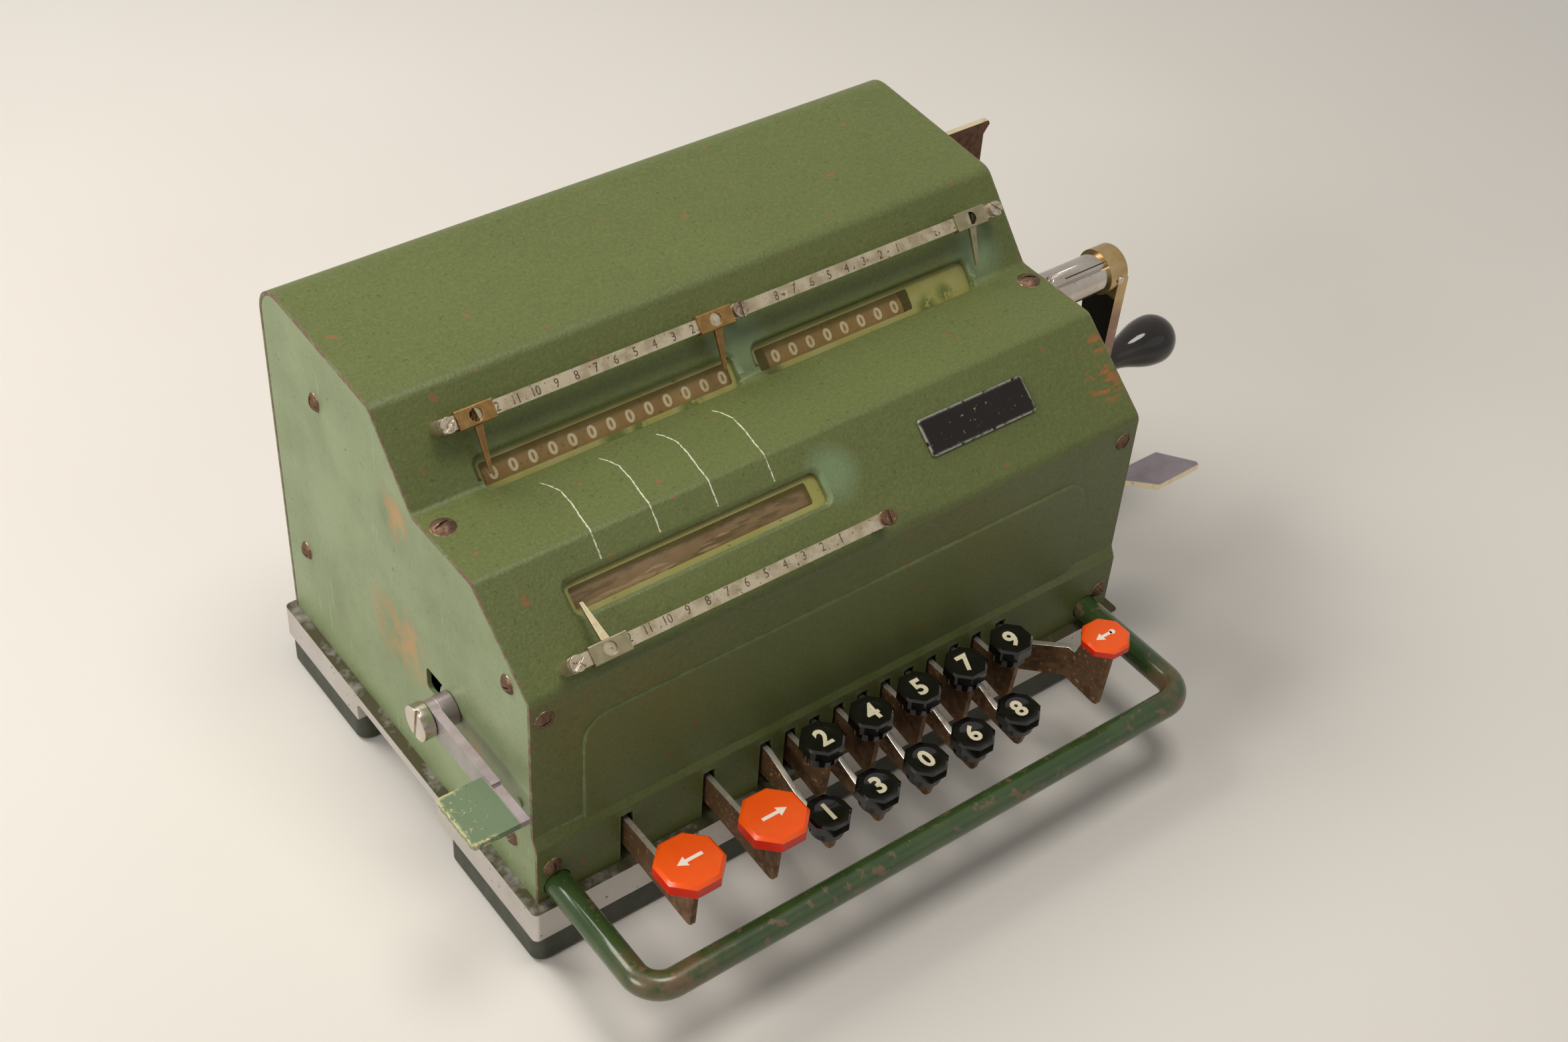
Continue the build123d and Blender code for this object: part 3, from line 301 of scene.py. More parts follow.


# painted highlights: pale places at the right ends of the window pockets, where their dished walls catch the
# light
litPocketEnds = [(3.0, 75.0, 128.0, 13.0), (98.5, 75.0, 128.0, 13.0), (3.0, 25.0, 112.5, 11.0)]
looks = {
    # alkyd enamel sprayed on steel sheet: dull olive green, chipped to brown primer along the side edges
    "case_paint": painted([
        # painted highlight at the right ends of the window pockets
        {"size": 18.0, "reach": (0.0, 0.45), "colour": "#839a76", "amount": 0.55, "spots": litPocketEnds},
        # painted highlight along every edge and crease of the sheet, where the light catches it
        {"size": 4.0, "reach": (0.3, 0.6), "colour": "#84956a", "amount": 0.55, "edge": 1.3},
        {"size": 2.5, "reach": (0.42, 0.56), "colour": "#6f5140", "rimX": (115.1, 115.95), "rough": 0.6},
        {"size": 6.0, "reach": (0.69, 0.72), "colour": "#8a5a34", "amount": 0.8, "rough": 0.6},
        {"size": 3.0, "reach": (0.5, 0.56), "colour": "#a8602e", "stretch": (0.35, 1.4, 1.0), "rough": 0.6,
         "turn": (0, 0, 0.5), "spots": [(109.0, 17.0, 107.5, 8.0), (113.0, 27.0, 115.0, 4.0)]},
    ]),
    # the same enamel where the light falls on it: painted paler as lit, rubbed pale in streaks, with orange
    # primer through in the dishes
    "left_panel_paint": painted([
        {"size": 25.0, "reach": (0.35, 0.7), "colour": "#8c9c74", "amount": 0.6},
        {"size": 1.5, "reach": (0.67, 0.72), "colour": "#bccab0", "stretch": (1.0, 1.0, 0.05), "amount": 0.5,
         "turn": (0.2, 0, 0)},
        # painted shade: darker over the two dishes, so that their hollows show
        {"size": 40.0, "reach": (0.0, 0.1), "colour": "#5c7250", "amount": 0.4,
         "spots": [(-116.0, 79.0, 58.0, 23.0), (-116.0, 79.5, 108.0, 15.0)]},
        {"size": 12.0, "reach": (0.4, 0.6), "colour": "#b08a5c", "amount": 0.9, "rough": 0.6,
         "spots": [(-116.0, 81.5, 62.0, 20.0), (-116.0, 81.5, 111.0, 12.0), (-116.0, 40.0, 48.0, 11.0)]},
        {"size": 3.0, "reach": (0.68, 0.72), "colour": "#8a5a38", "rough": 0.6},
    ], colour="#80906a"),
    # the same enamel on the side that is turned from the light: darker, streaked where sleeves have brushed it
    "right_panel_paint": painted([
        {"size": 2.0, "reach": (0.62, 0.74), "colour": "#84925f", "stretch": (1.0, 0.1, 1.0), "amount": 0.35},
        {"size": 5.0, "reach": (0.68, 0.72), "colour": "#8a5a38", "rough": 0.6},
    ], colour="#5d6b3a"),
    # cast aluminium, machined on its faces: a dull silver, with years of brown dust on the ledge
    "base_metal": {"colour": "#cdc8c3", "rough": 0.38, "metal": 0.8,
                   "grain": [{"size": 1.0, "depth": 0.02, "stretch": (0.15, 0.15, 1.0)}],
                   "layers": [
                       {"size": 22.0, "reach": (0.4, 0.75), "colour": "#b3aca5", "amount": 0.6},
                       {"size": 7.0, "reach": (0.05, 0.5), "colour": "#4d4930", "rough": 0.9, "metal": 0.0,
                        "facing": ((0, 0, 1), 0.4, 0.9)},
                       {"size": 3.0, "reach": (0.68, 0.72), "colour": "#6b5138", "rough": 0.8, "metal": 0.1},
                   ]},
    # painted cast iron: nearly black green, grey with dust at its edges
    "foot_paint": {"colour": "#2f3226", "rough": 0.55, "grain": [{"size": 1.4, "depth": 0.06}],
                   "layers": [
                       {"size": 8.0, "reach": (0.4, 0.75), "colour": "#454839", "amount": 0.8},
                       {"size": 3.0, "reach": (0.45, 0.62), "colour": "#77705a", "edge": 1.2, "amount": 0.7},
                   ]},
    # old steel screws: brown with rust, bright only where a driver has slipped
    "screw_steel": {"colour": "#6f5743", "rough": 0.48, "metal": 0.75,
                    "grain": [{"size": 0.8, "depth": 0.03}],
                    "layers": [
                        {"size": 1.5, "reach": (0.45, 0.65), "colour": "#54392a", "rough": 0.7, "metal": 0.4},
                        {"size": 1.2, "reach": (0.4, 0.6), "colour": "#c7ab90", "rough": 0.35, "metal": 0.9,
                         "edge": 0.35},
                    ]},
    # nickelled screws of the rails: bright at the ends, brown in their slots and in the middle of the case
    "rail_screw_finish": {"colour": "#c4b9a4", "rough": 0.3, "metal": 0.9,
                          "layers": [{"size": 1.2, "reach": (0.5, 0.66), "colour": "#7a5c44", "rough": 0.6},
                                     {"size": 1.2, "reach": (0.2, 0.4), "colour": "#6f5340", "rough": 0.6,
                                      "spots": [(3.1, 80.0, 142.0, 9.0), (8.5, 5.0, 107.0, 9.0)]}]},
    # cellulose sheet: clear, a little yellow, and glossy enough to catch the window
    "celluloid": {"colour": "#a89a52", "rough": 0.16, "shader": {"Alpha": 0.12, "IOR": 1.5},
                  "layers": [{"size": 20.0, "reach": (0.4, 0.8), "colour": "#c4b878"}]},
    # brass plate under black enamel: glossy black, worn to bright metal at the rim
    "plate_black": {"colour": "#17110d", "rough": 0.26, "shader": {"Specular IOR Level": 0.35},
                    "layers": [
                        {"size": 2.0, "reach": (0.36, 0.48), "colour": "#d5d0c2", "rough": 0.35, "metal": 0.85,
                         "edge": 1.4},
                        {"size": 1.3, "reach": (0.67, 0.7), "colour": "#a79c86", "rough": 0.4, "metal": 0.8},
                    ]},
    # nickelled steel strip: bright, worn through to a yellowish grey between the numbers
    "rail_nickel": {"colour": "#cdc0a6", "rough": 0.34, "metal": 0.9,
                    "grain": [{"size": 0.7, "depth": 0.015, "stretch": (0.3, 1.0, 1.0)}],
                    "layers": [
                        {"size": 5.0, "reach": (0.42, 0.62), "colour": "#a99a7c", "amount": 0.8},
                        {"size": 1.6, "reach": (0.62, 0.7), "colour": "#6e6048", "rough": 0.55},
                    ]},
    # brass that has gone brown, polished on its edges by the fingers
    "pointer_brass": {"colour": "#8d6c40", "rough": 0.4, "metal": 0.85,
                      "layers": [
                          {"size": 3.0, "reach": (0.4, 0.7), "colour": "#a8854f", "amount": 0.8},
                          {"size": 1.5, "reach": (0.3, 0.6), "colour": "#c9ab76", "rough": 0.3, "edge": 0.35},
                      ]},
    # the same pointers with their nickel left on
    "pointer_nickel": {"colour": "#a39a7c", "rough": 0.36, "metal": 0.9,
                       "layers": [
                           {"size": 3.0, "reach": (0.4, 0.7), "colour": "#8e8364", "amount": 0.8},
                           {"size": 1.5, "reach": (0.3, 0.6), "colour": "#cfc3a4", "rough": 0.3, "edge": 0.35},
                       ]},
    # glossy enamel on a steel bar: darker green, worn brown where hands and tables have rubbed it
    "bar_paint": {"colour": "#334a22", "rough": 0.22, "shader": {"Coat Weight": 0.3},
                  "grain": [{"size": 5.0, "depth": 0.06}],
                  "layers": [
                      {"size": 16.0, "reach": (0.4, 0.7), "colour": "#44592c", "amount": 0.8},
                      {"size": 5.0, "reach": (0.58, 0.66), "colour": "#6d5640", "rough": 0.5},
                      {"size": 7.0, "reach": (0.36, 0.58), "colour": "#735a42", "rough": 0.4, "metal": 0.3,
                       "amount": 0.85, "spots": [(-100.0, -46.0, 18.5, 22.0), (101.0, -42.0, 18.5, 14.0)]},
                  ]},
    # bright rolled steel of the inner works, slightly oily
    "inner_steel": {"colour": "#8f8678", "rough": 0.42, "metal": 0.9,
                    "layers": [{"size": 18.0, "reach": (0.4, 0.7), "colour": "#6e6250"}]},
    # ground steel shafts: a mirror with oil on it
    "shaft_steel": {"colour": "#a79f93", "rough": 0.25, "metal": 1.0,
                    "layers": [{"size": 9.0, "reach": (0.45, 0.7), "colour": "#8a7f70"}]},
    # moulded number wheels, brown behind the yellow pane
    "dial": {"colour": "#936a3e", "rough": 0.5,
             "layers": [{"size": 7.0, "reach": (0.4, 0.7), "colour": "#a67d4c"},
                        {"size": 1.5, "reach": (0.62, 0.7), "colour": "#5f4229"}]},
    # the setting wheels, a colder brown, with dark and pale streaks along the row
    "setting_dial": {"colour": "#8a6450", "rough": 0.4,
                     "layers": [{"size": 16.0, "reach": (0.45, 0.62), "colour": "#94705a"},
                                {"size": 3.0, "reach": (0.5, 0.6), "colour": "#553826",
                                 "stretch": (0.2, 1.0, 1.0)},
                                {"size": 2.4, "reach": (0.58, 0.66), "colour": "#c9a888",
                                 "stretch": (0.12, 1.0, 1.0)}]},
    # cut brass gears
    "gear_brass": {"colour": "#b08d4c", "rough": 0.35, "metal": 1.0,
                   "layers": [{"size": 6.0, "reach": (0.4, 0.7), "colour": "#8f6f38"}]},
    # blued steel discs of the drum
    "drum_steel": {"colour": "#6f6a66", "rough": 0.36, "metal": 0.95,
                   "layers": [{"size": 12.0, "reach": (0.4, 0.7), "colour": "#55504c"}]},
    # stamped steel levers: brown with old oil and rust, with a painted highlight along the top edge
    "lever_steel": {"colour": "#8d6c4e", "rough": 0.45, "metal": 0.8,
                    "grain": [{"size": 1.2, "depth": 0.04}],
                    "layers": [
                        {"size": 4.0, "reach": (0.4, 0.65), "colour": "#5f432b", "rough": 0.65, "metal": 0.4},
                        {"size": 1.6, "reach": (0.6, 0.68), "colour": "#b48a58", "rough": 0.7, "metal": 0.2},
                        # painted highlight: near white metal on faces turned up, where the light from above
                        # falls
                        {"size": 6.0, "reach": (0.2, 0.5), "colour": "#ded8cc", "rough": 0.3, "metal": 0.9,
                         "facing": ((0, 0, 1), 0.6, 0.9)},
                    ]},
    # pressed phenolic key tops: deep glossy black
    "key_black": {"colour": "#0d0a08", "rough": 0.12, "shader": {"Coat Weight": 0.5, "Coat Roughness": 0.05},
                  "layers": [{"size": 2.0, "reach": (0.66, 0.74), "colour": "#3a3029", "rough": 0.35,
                              "amount": 0.7}]},
    # cast urea key tops: orange red, with painted shade making the sides a deeper red and a painted highlight
    # on the tops
    "key_red": {"colour": "#ff5a0c", "rough": 0.22,
                # painted shade: a deeper red on faces turned away from the top
                "layers": [{"size": 30.0, "reach": (0.0, 0.1), "colour": "#d8260c",
                            "facing": ((0, 0, 1), 0.75, 0.45)},
                           # painted highlight: paler orange on faces turned up
                           {"size": 8.0, "reach": (0.45, 0.8), "colour": "#fe6c14", "amount": 0.6,
                            "facing": ((0, 0, 1), 0.8, 0.95)}]},
    # nickel plate on the crank's barrel
    "crank_nickel": {"colour": "#d3cac0", "rough": 0.2, "metal": 1.0,
                     "layers": [{"size": 12.0, "reach": (0.4, 0.75), "colour": "#bfb0a2"},
                                {"size": 1.5, "reach": (0.69, 0.73), "colour": "#7d6450", "rough": 0.4}]},
    # the arm's nickel has worn to brass and brown, and its inner face below the barrel, turned from the light,
    # is painted near black as shade
    "arm_steel": {"colour": "#b99a6a", "rough": 0.3, "metal": 0.9,
                  "layers": [
                      {"size": 9.0, "reach": (0.4, 0.65), "colour": "#c7ae80"},
                      {"size": 4.0, "reach": (0.2, 0.5), "colour": "#97796a", "slab": ("z", 101.0, 92.0)},
                      # painted shade: near black on the faces turned to the left, below the barrel
                      {"size": 30.0, "reach": (0.0, 0.1), "colour": "#22190f", "rough": 0.5, "metal": 0.5,
                       "facing": ((-1, 0, 0), 0.6, 0.9), "slab": ("z", 101.5, 100.5)},
                  ]},
    # polished phenolic grip, black with a brown cast
    "grip_plastic": {"colour": "#130c07", "rough": 0.07, "shader": {"Coat Weight": 0.2},
                     "layers": [{"size": 12.0, "reach": (0.4, 0.8), "colour": "#2e2013"}]},
    # left clearing lever: bare mauve steel arm, its thumb tab enamelled green and chipped at the rim
    "left_lever_finish": {"colour": "#b8aaae", "rough": 0.36, "metal": 0.8,
                          "layers": [
                              {"size": 9.0, "reach": (0.4, 0.75), "colour": "#9f9094"},
                              {"size": 30.0, "reach": (0.0, 0.1), "colour": "#65785a", "rough": 0.42,
                               "metal": 0.0, "slab": ("x", -123.8, -124.6)},
                              {"size": 1.6, "reach": (0.42, 0.5), "colour": "#e0d49c", "rough": 0.5,
                               "metal": 0.2, "slab": ("x", -131.0, -134.0), "edge": 1.8},
                              {"size": 1.1, "reach": (0.62, 0.66), "colour": "#cabb88", "rough": 0.5,
                               "metal": 0.2, "slab": ("x", -128.0, -139.0)},
                              {"size": 1.3, "reach": (0.68, 0.72), "colour": "#6d4a30", "rough": 0.7,
                               "metal": 0.1},
                          ]},
    # right clearing levers: plain steel gone mauve brown, with a bright rim
    "right_lever_finish": {"colour": "#9d9298", "rough": 0.42, "metal": 0.75,
                           "layers": [
                               {"size": 9.0, "reach": (0.4, 0.75), "colour": "#857a7f", "rough": 0.55},
                               {"size": 3.0, "reach": (0.25, 0.4), "colour": "#efe2bf", "rough": 0.3,
                                "metal": 0.7, "facing": ((0, -1, 0), 0.3, 0.6)},
                               {"size": 3.0, "reach": (0.3, 0.45), "colour": "#d9c6a0", "rough": 0.3,
                                "metal": 0.9, "edge": 0.5},
                           ]},
    # the rear one is rusted brown all over and rough, with a painted highlight on its upper edge
    "rear_lever_finish": {"colour": "#76533c", "rough": 0.62, "metal": 0.4,
                          "grain": [{"size": 1.3, "depth": 0.08}],
                          "layers": [
                              {"size": 2.5, "reach": (0.45, 0.65), "colour": "#5a3b2a"},
                              # painted highlight: pale cream metal on faces turned up
                              {"size": 3.0, "reach": (0.25, 0.4), "colour": "#efe0b6", "rough": 0.32,
                               "metal": 0.7, "facing": ((0, 0, 1), 0.6, 0.9)},
                          ]},
    # paint in the numbers of the dials: cream, yellowed in patches
    "cream_ink": {"colour": "#f6e8c2", "rough": 0.55,
                  "layers": [{"size": 2.5, "reach": (0.5, 0.75), "colour": "#d8b878"}]},
    # paint in the engraved key numbers: ivory, soiled by fingers
    "key_ink": {"colour": "#f0e6c4", "rough": 0.4,
                "layers": [{"size": 2.0, "reach": (0.6, 0.75), "colour": "#d6c797"}]},
    # paint in the arrows: white, with a little of the red showing through
    "white_ink": {"colour": "#fff4e4", "rough": 0.4,
                  "layers": [{"size": 2.0, "reach": (0.62, 0.75), "colour": "#eec9a8"}]},
    # dirt in the stamped numbers of the rails: dull dark brown, thin in places
    "engraving": {"colour": "#4a3d2c", "rough": 0.7,
                  "layers": [{"size": 1.0, "reach": (0.5, 0.62), "colour": "#8a7a60"}]},
    # lines scribed through the enamel: pale and matt, broken where the paint has held
    "scratch_white": {"colour": "#d6d6c0", "rough": 0.6,
                      "layers": [{"size": 1.2, "reach": (0.52, 0.62), "colour": "#8c9068"}]},
    # lacquer of the small marks: a dull red orange
    "red_mark": {"colour": "#c9502c", "rough": 0.5,
                 "layers": [{"size": 1.0, "reach": (0.5, 0.7), "colour": "#a84326"}]},
    # lacquered card round the dials, gone yellow
    "dial_card": {"colour": "#a6a358", "rough": 0.5,
                  "layers": [{"size": 9.0, "reach": (0.4, 0.7), "colour": "#b0ad74"},
                             {"size": 3.5, "reach": (0.38, 0.44), "colour": "#5d6e30",
                              "spots": [(-18.0, 69.7, 117.6, 5.5), (-46.0, 69.7, 117.6, 6.0),
                                        (-37.0, 69.7, 117.6, 3.5), (84.0, 71.3, 119.2, 4.0),
                                        (76.0, 69.8, 117.6, 5.0), (13.0, 69.8, 117.6, 5.0)]},
                             {"size": 1.4, "reach": (0.66, 0.7), "colour": "#6c6a38"}]},
    # oil and dust in the oil hole and keyway, and painted shade in place of their hollows: nearly black,
    # without gloss
    "dark_hole": {"colour": "#1a120c", "rough": 0.8,
                  "layers": [{"size": 2.0, "reach": (0.5, 0.7), "colour": "#2c2016"}]},
    # studio paper: pale, warm and matt, with no pattern to catch the eye
    "studio_floor": {"colour": stageLook["floorColour"], "rough": 0.8,
                     "layers": [{"size": 300.0, "reach": (0.3, 0.8), "colour": "#e3dfd8"}]},
}
finishes = {name: makeFinish(name, look) for name, look in looks.items()}
print("finishes made:", len(finishes))


# the floor
selectOnly(camera)
bpy.ops.mesh.primitive_plane_add(size=stageLook["floorSize"])
floor = bpy.context.object
floor.name = "studioFloor"
floor.data.materials.append(finishes["studio_floor"])
# far from the machine the camera sees the floor run out into the pale backdrop
tree = finishes["studio_floor"].node_tree
place = addNode(tree, 'ShaderNodeTexCoord', {})
away = addNode(tree, 'ShaderNodeVectorMath', {"operation": 'LENGTH'}, {0: place.outputs["Object"]})
away = ramp(tree, away.outputs["Value"], *stageLook["floorFade"])
seen = rayMask(tree, ["Is Camera Ray", "Is Glossy Ray"])
fade = addNode(tree, 'ShaderNodeMath', {"operation": 'MULTIPLY'}, {0: away, 1: seen})
pale = addNode(tree, 'ShaderNodeEmission', {"Color": linearColour(stageLook["worldColour"]),
               "Strength": stageLook["backdropStrength"]})
ground = addNode(tree, 'ShaderNodeMixShader', {}, {
    0: fade.outputs[0], 1: tree.nodes["Principled BSDF"].outputs[0], 2: pale.outputs[0]})
tree.links.new(ground.outputs[0], tree.nodes["Material Output"].inputs["Surface"])


# the frame's own pieces, merged, with the edges that sheet and castings really have
copyLook = {"weld": 0.002, "flatAngle": 0.3, "edgeAngle": 50, "edgeSteps": 2, "smoothAngle": 32}


def finishedCopy(nodeName, finish, edgeRadius):
    node = frame["nodes"][nodeName]
    piece = bpy.data.objects.new(nodeName + "_finish", node.data.copy())
    bpy.context.scene.collection.objects.link(piece)
    piece.data.materials.clear()
    piece.data.materials.append(finishes[finish])
    for face in piece.data.polygons:
        face.material_index = 0
    selectOnly(piece)
    bpy.ops.object.mode_set(mode='EDIT')
    bpy.ops.mesh.select_all(action='SELECT')
    bpy.ops.mesh.remove_doubles(threshold=copyLook["weld"] * mm)
    bpy.ops.mesh.dissolve_limited(angle_limit=math.radians(copyLook["flatAngle"]))
    bpy.ops.object.mode_set(mode='OBJECT')
    if edgeRadius:
        bevel = piece.modifiers.new("edges", 'BEVEL')
        bevel.width = edgeRadius * mm
        bevel.segments = copyLook["edgeSteps"]
        bevel.limit_method = 'ANGLE'
        bevel.angle_limit = math.radians(copyLook["edgeAngle"])
        bpy.ops.object.modifier_apply(modifier=bevel.name)
    bpy.ops.object.shade_smooth_by_angle(angle=math.radians(copyLook["smoothAngle"]))
    weighted = piece.modifiers.new("flats", 'WEIGHTED_NORMAL')
    weighted.keep_sharp = True
    bpy.ops.object.modifier_apply(modifier=weighted.name)
    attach(piece, bodyOf[nodeName])
    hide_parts(nodeName)


finishOf = {  # node: (finish, slot, radius of its edges in millimetres)
    "base_plate": ("base_metal", "base_metal", 0.35),
    "feet": ("foot_paint", "foot_paint", 0.0),
    "top_cover": ("case_paint", "case_paint", 0.0),
    "left_side_panel": ("left_panel_paint", "case_paint", 0.0),
    "right_side_panel": ("right_panel_paint", "case_paint", 0.0),
    "case_screws": ("screw_steel", "screw_steel", 0.12),
    "name_plate": ("plate_black", "plate_black", 0.45),
    "pointer_rails": ("rail_nickel", "rail_nickel", 0.25),
    "rail_screws": ("rail_screw_finish", "screw_steel", 0.2),
    "carrying_bar": ("bar_paint", "bar_paint", 0.0),
    "crank_shaft": ("crank_nickel", "crank_nickel", 0.0),
    "crank_pin": ("crank_nickel", "crank_nickel", 0.2),
    "crank_arm": ("arm_steel", "arm_steel", 0.4),
    "crank_grip": ("grip_plastic", "grip_plastic", 0.0),
    "left_clearing_lever": ("left_lever_finish", "clearing_steel", 0.35),
    "right_front_clearing_lever": ("right_lever_finish", "clearing_steel", 0.35),
    "right_rear_clearing_lever": ("rear_lever_finish", "clearing_steel", 0.35),
    "lever_pivot_screws": ("crank_nickel", "screw_steel", 0.35),
    "decimal_pointer_1": ("pointer_brass", "pointer_brass", 0.18),
    "decimal_pointer_2": ("pointer_brass", "pointer_brass", 0.18),
    "decimal_pointer_3": ("pointer_nickel", "pointer_brass", 0.18),
    "decimal_pointer_4": ("pointer_nickel", "pointer_brass", 0.18),
    "result_wheels": ("dial", "dial", 0.0),
    "counter_wheels": ("dial", "dial", 0.0),
    "setting_wheels": ("setting_dial", "dial", 0.0),
}
for key in "0123456789":
    finishOf[f"key_{key}_cap"] = ("key_black", "key_black", 0.32)
    finishOf[f"key_{key}_lever"] = ("lever_steel", "lever_steel", 0.2)
for key in ("step_left_key", "step_right_key", "carriage_return_key"):
    finishOf[f"{key}_cap"] = ("key_red", "key_red", 0.3)
    finishOf[f"{key}_lever"] = ("lever_steel", "lever_steel", 0.2)
for nodeName, (finish, slotName, edgeRadius) in finishOf.items():
    finishedCopy(nodeName, finish, edgeRadius)
print("frame pieces finished:", len(finishOf))

hiddenWorks = {  # nodes that stay as they are and only take a finish
    "register_windows": "celluloid", "left_frame": "inner_steel", "right_frame": "inner_steel",
    "key_pivot_shaft": "shaft_steel", "key_stop_bar": "inner_steel", "register_shafts": "shaft_steel",
    "drum_shaft": "shaft_steel", "pinwheel_drum": "drum_steel", "idler_gear": "gear_brass",
}
for nodeName, finish in hiddenWorks.items():
    node = frame["nodes"][nodeName]
    for slot in node.material_slots:
        slot.material = finishes[finish]


# numbers, made once each and copied
letterLook = {"noughtWidth": 0.56, "halfDepth": 0.5, "curveSteps": 3}  # as the font has them


def digitMesh(text, height, width, depth, weight):
    # width is that of a nought; the others keep their own proportion to it
    selectOnly(camera)
    bpy.ops.object.text_add()
    letter = bpy.context.object
    letter.data.body = text
    letter.data.resolution_u = letterLook["curveSteps"]
    letter.data.offset = weight
    letter.data.extrude = letterLook["halfDepth"]
    bpy.ops.object.convert(target='MESH')
    mesh = letter.data
    xs = [v.co.x for v in mesh.vertices]
    ys = [v.co.y for v in mesh.vertices]
    low, high = min(ys), max(ys)
    grow = height / (high - low)
    stretchX = width / letterLook["noughtWidth"]
    centre = Matrix.Translation((-(min(xs) + max(xs)) / 2, -(low + high) / 2, letterLook["halfDepth"]))
    mesh.transform(Matrix.Diagonal((stretchX, grow, depth, 1.0)) @ centre)
    bpy.data.objects.remove(letter)
    return mesh


def settle(piece, name, finish, body):
    piece.name = name
    piece.data.materials.clear()
    piece.data.materials.append(finishes[finish])
    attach(piece, body)


def joined(name, meshes, finish, body):
    pieces = []
    for mesh in meshes:
        piece = bpy.data.objects.new(name, mesh)
        bpy.context.scene.collection.objects.link(piece)
        pieces.append(piece)
    bpy.ops.object.select_all(action='DESELECT')
    for piece in pieces:
        piece.select_set(True)
    bpy.context.view_layer.objects.active = pieces[0]
    if len(pieces) > 1:
        bpy.ops.object.join()
    settle(bpy.context.object, name, finish, body)


def bevelAll(offset, segments):
    # eases every edge of the piece that is active
    bpy.ops.object.mode_set(mode='EDIT')
    bpy.ops.mesh.select_all(action='SELECT')
    bpy.ops.mesh.bevel(offset=offset, segments=segments)
    bpy.ops.object.mode_set(mode='OBJECT')


wheelLook = {"height": 4.3, "width": 3.2, "weight": 0.04, "radius": 11.0, "lift": 0.05, "sink": 0.05,
             "riseUp": 0.9, "pitch": 6.87}
wheelDigits = {d: digitMesh(d, wheelLook["height"], wheelLook["width"], 1.0, wheelLook["weight"])
               for d in "0123456789"}


def onWheel(digit, x, axis, slopeAngle, place):
    # wraps a flat number round its wheel; place counts tenths of a turn down from the window
    mesh = wheelDigits[digit].copy()
    for vertex in mesh.vertices:
        turn = slopeAngle + math.radians(36 * place) - (vertex.co.y + wheelLook["riseUp"]) / wheelLook["radius"]
        radius = wheelLook["radius"] + (wheelLook["lift"] if vertex.co.z > 0.5 else -wheelLook["sink"])
        vertex.co = at(x + vertex.co.x, axis[0] + radius * math.cos(turn), axis[1] + radius * math.sin(turn))
    return mesh


steepAngle = math.atan2(22.5, -24.9)
frontAngle = math.atan2(29.6, -23.6)
registers = {  # name: (first place, count, axis, angle of the window, numbers)
    "result": (-85.7, 13, (81.5, 111.0), steepAngle, "0123456789"),
    "counter": (17.35, 8, (81.5, 111.0), steepAngle, "0123456789"),
    "setting": (-85.7, 13, (33.6, 98.2), frontAngle, " 123456789"),
}
for name, (firstX, count, axis, angle, digits) in registers.items():
    meshes = []
    for n in range(count):
        for place, digit in enumerate(digits):
            if digit != " ":
                meshes.append(onWheel(digit, firstX + n * wheelLook["pitch"], axis, angle, place))
    joined(f"{name}_numbers", meshes, "cream_ink", f"{name}_register")

# the wheels nearly touch: a sleeve closes the gaps between them
sleeveLook = {"sides": 96, "radius": 10.93, "wheel": 6.2, "rim": 0.6, "smoothAngle": 30}
for name, (firstX, count, axis, angle, digits) in registers.items():
    selectOnly(camera)
    span = (count - 1) * wheelLook["pitch"]
    middle = firstX + span / 2
    bpy.ops.mesh.primitive_cylinder_add(vertices=sleeveLook["sides"], radius=sleeveLook["radius"],
                                        depth=span + sleeveLook["wheel"], end_fill_type='NGON')
    sleeve = bpy.context.object
    bpy.ops.object.mode_set(mode='EDIT')
    bpy.ops.mesh.select_all(action='DESELECT')
    bpy.ops.object.mode_set(mode='OBJECT')
    for face in sleeve.data.polygons:
        face.select = abs(face.normal.z) > 0.5
    bpy.ops.object.mode_set(mode='EDIT')
    bpy.ops.mesh.select_mode(type='FACE')
    bpy.ops.mesh.inset(thickness=sleeveLook["rim"])
    bpy.ops.object.mode_set(mode='OBJECT')
    sleeve.data.transform(machine @ Matrix.Translation((middle, axis[0], axis[1]))
                          @ Matrix.Rotation(math.pi / 2, 4, 'Y'))
    bpy.ops.object.shade_smooth_by_angle(angle=math.radians(sleeveLook["smoothAngle"]))
    settle(sleeve, f"{name}_sleeve", "setting_dial" if name == "setting" else "dial",
           f"{name}_register")
print("wheel numbers placed")


# legends of the keys
keyLook = {"height": 7.0, "width": 4.9, "depth": 0.12, "weight": 0.03, "sink": 0.05, "dish": 0.5, "ball": 24.93,
           "frontPlace": (-28.3, 32.0), "rearPlace": (-11.3, 44.0), "firstX": -32.2, "pitch": 9.65}
for n, key in enumerate("1234056789"):  # from left to right, front and rear row in turn
    y, top = keyLook["frontPlace"] if key in "13068" else keyLook["rearPlace"]
    x = keyLook["firstX"] + n * keyLook["pitch"]
    mesh = digitMesh(key, keyLook["height"], keyLook["width"], keyLook["depth"], keyLook["weight"])
    for vertex in mesh.vertices:  # laid into the dish of the cap
        rise = (vertex.co.x ** 2 + vertex.co.y ** 2) / (2 * keyLook["ball"])
        z = top - keyLook["dish"] + rise - keyLook["sink"] + vertex.co.z
        vertex.co = at(x + vertex.co.x, y + vertex.co.y, z)
    joined(f"key_{key}_number", [mesh], "key_ink", f"key_{key}")


arrowThickness = 0.14


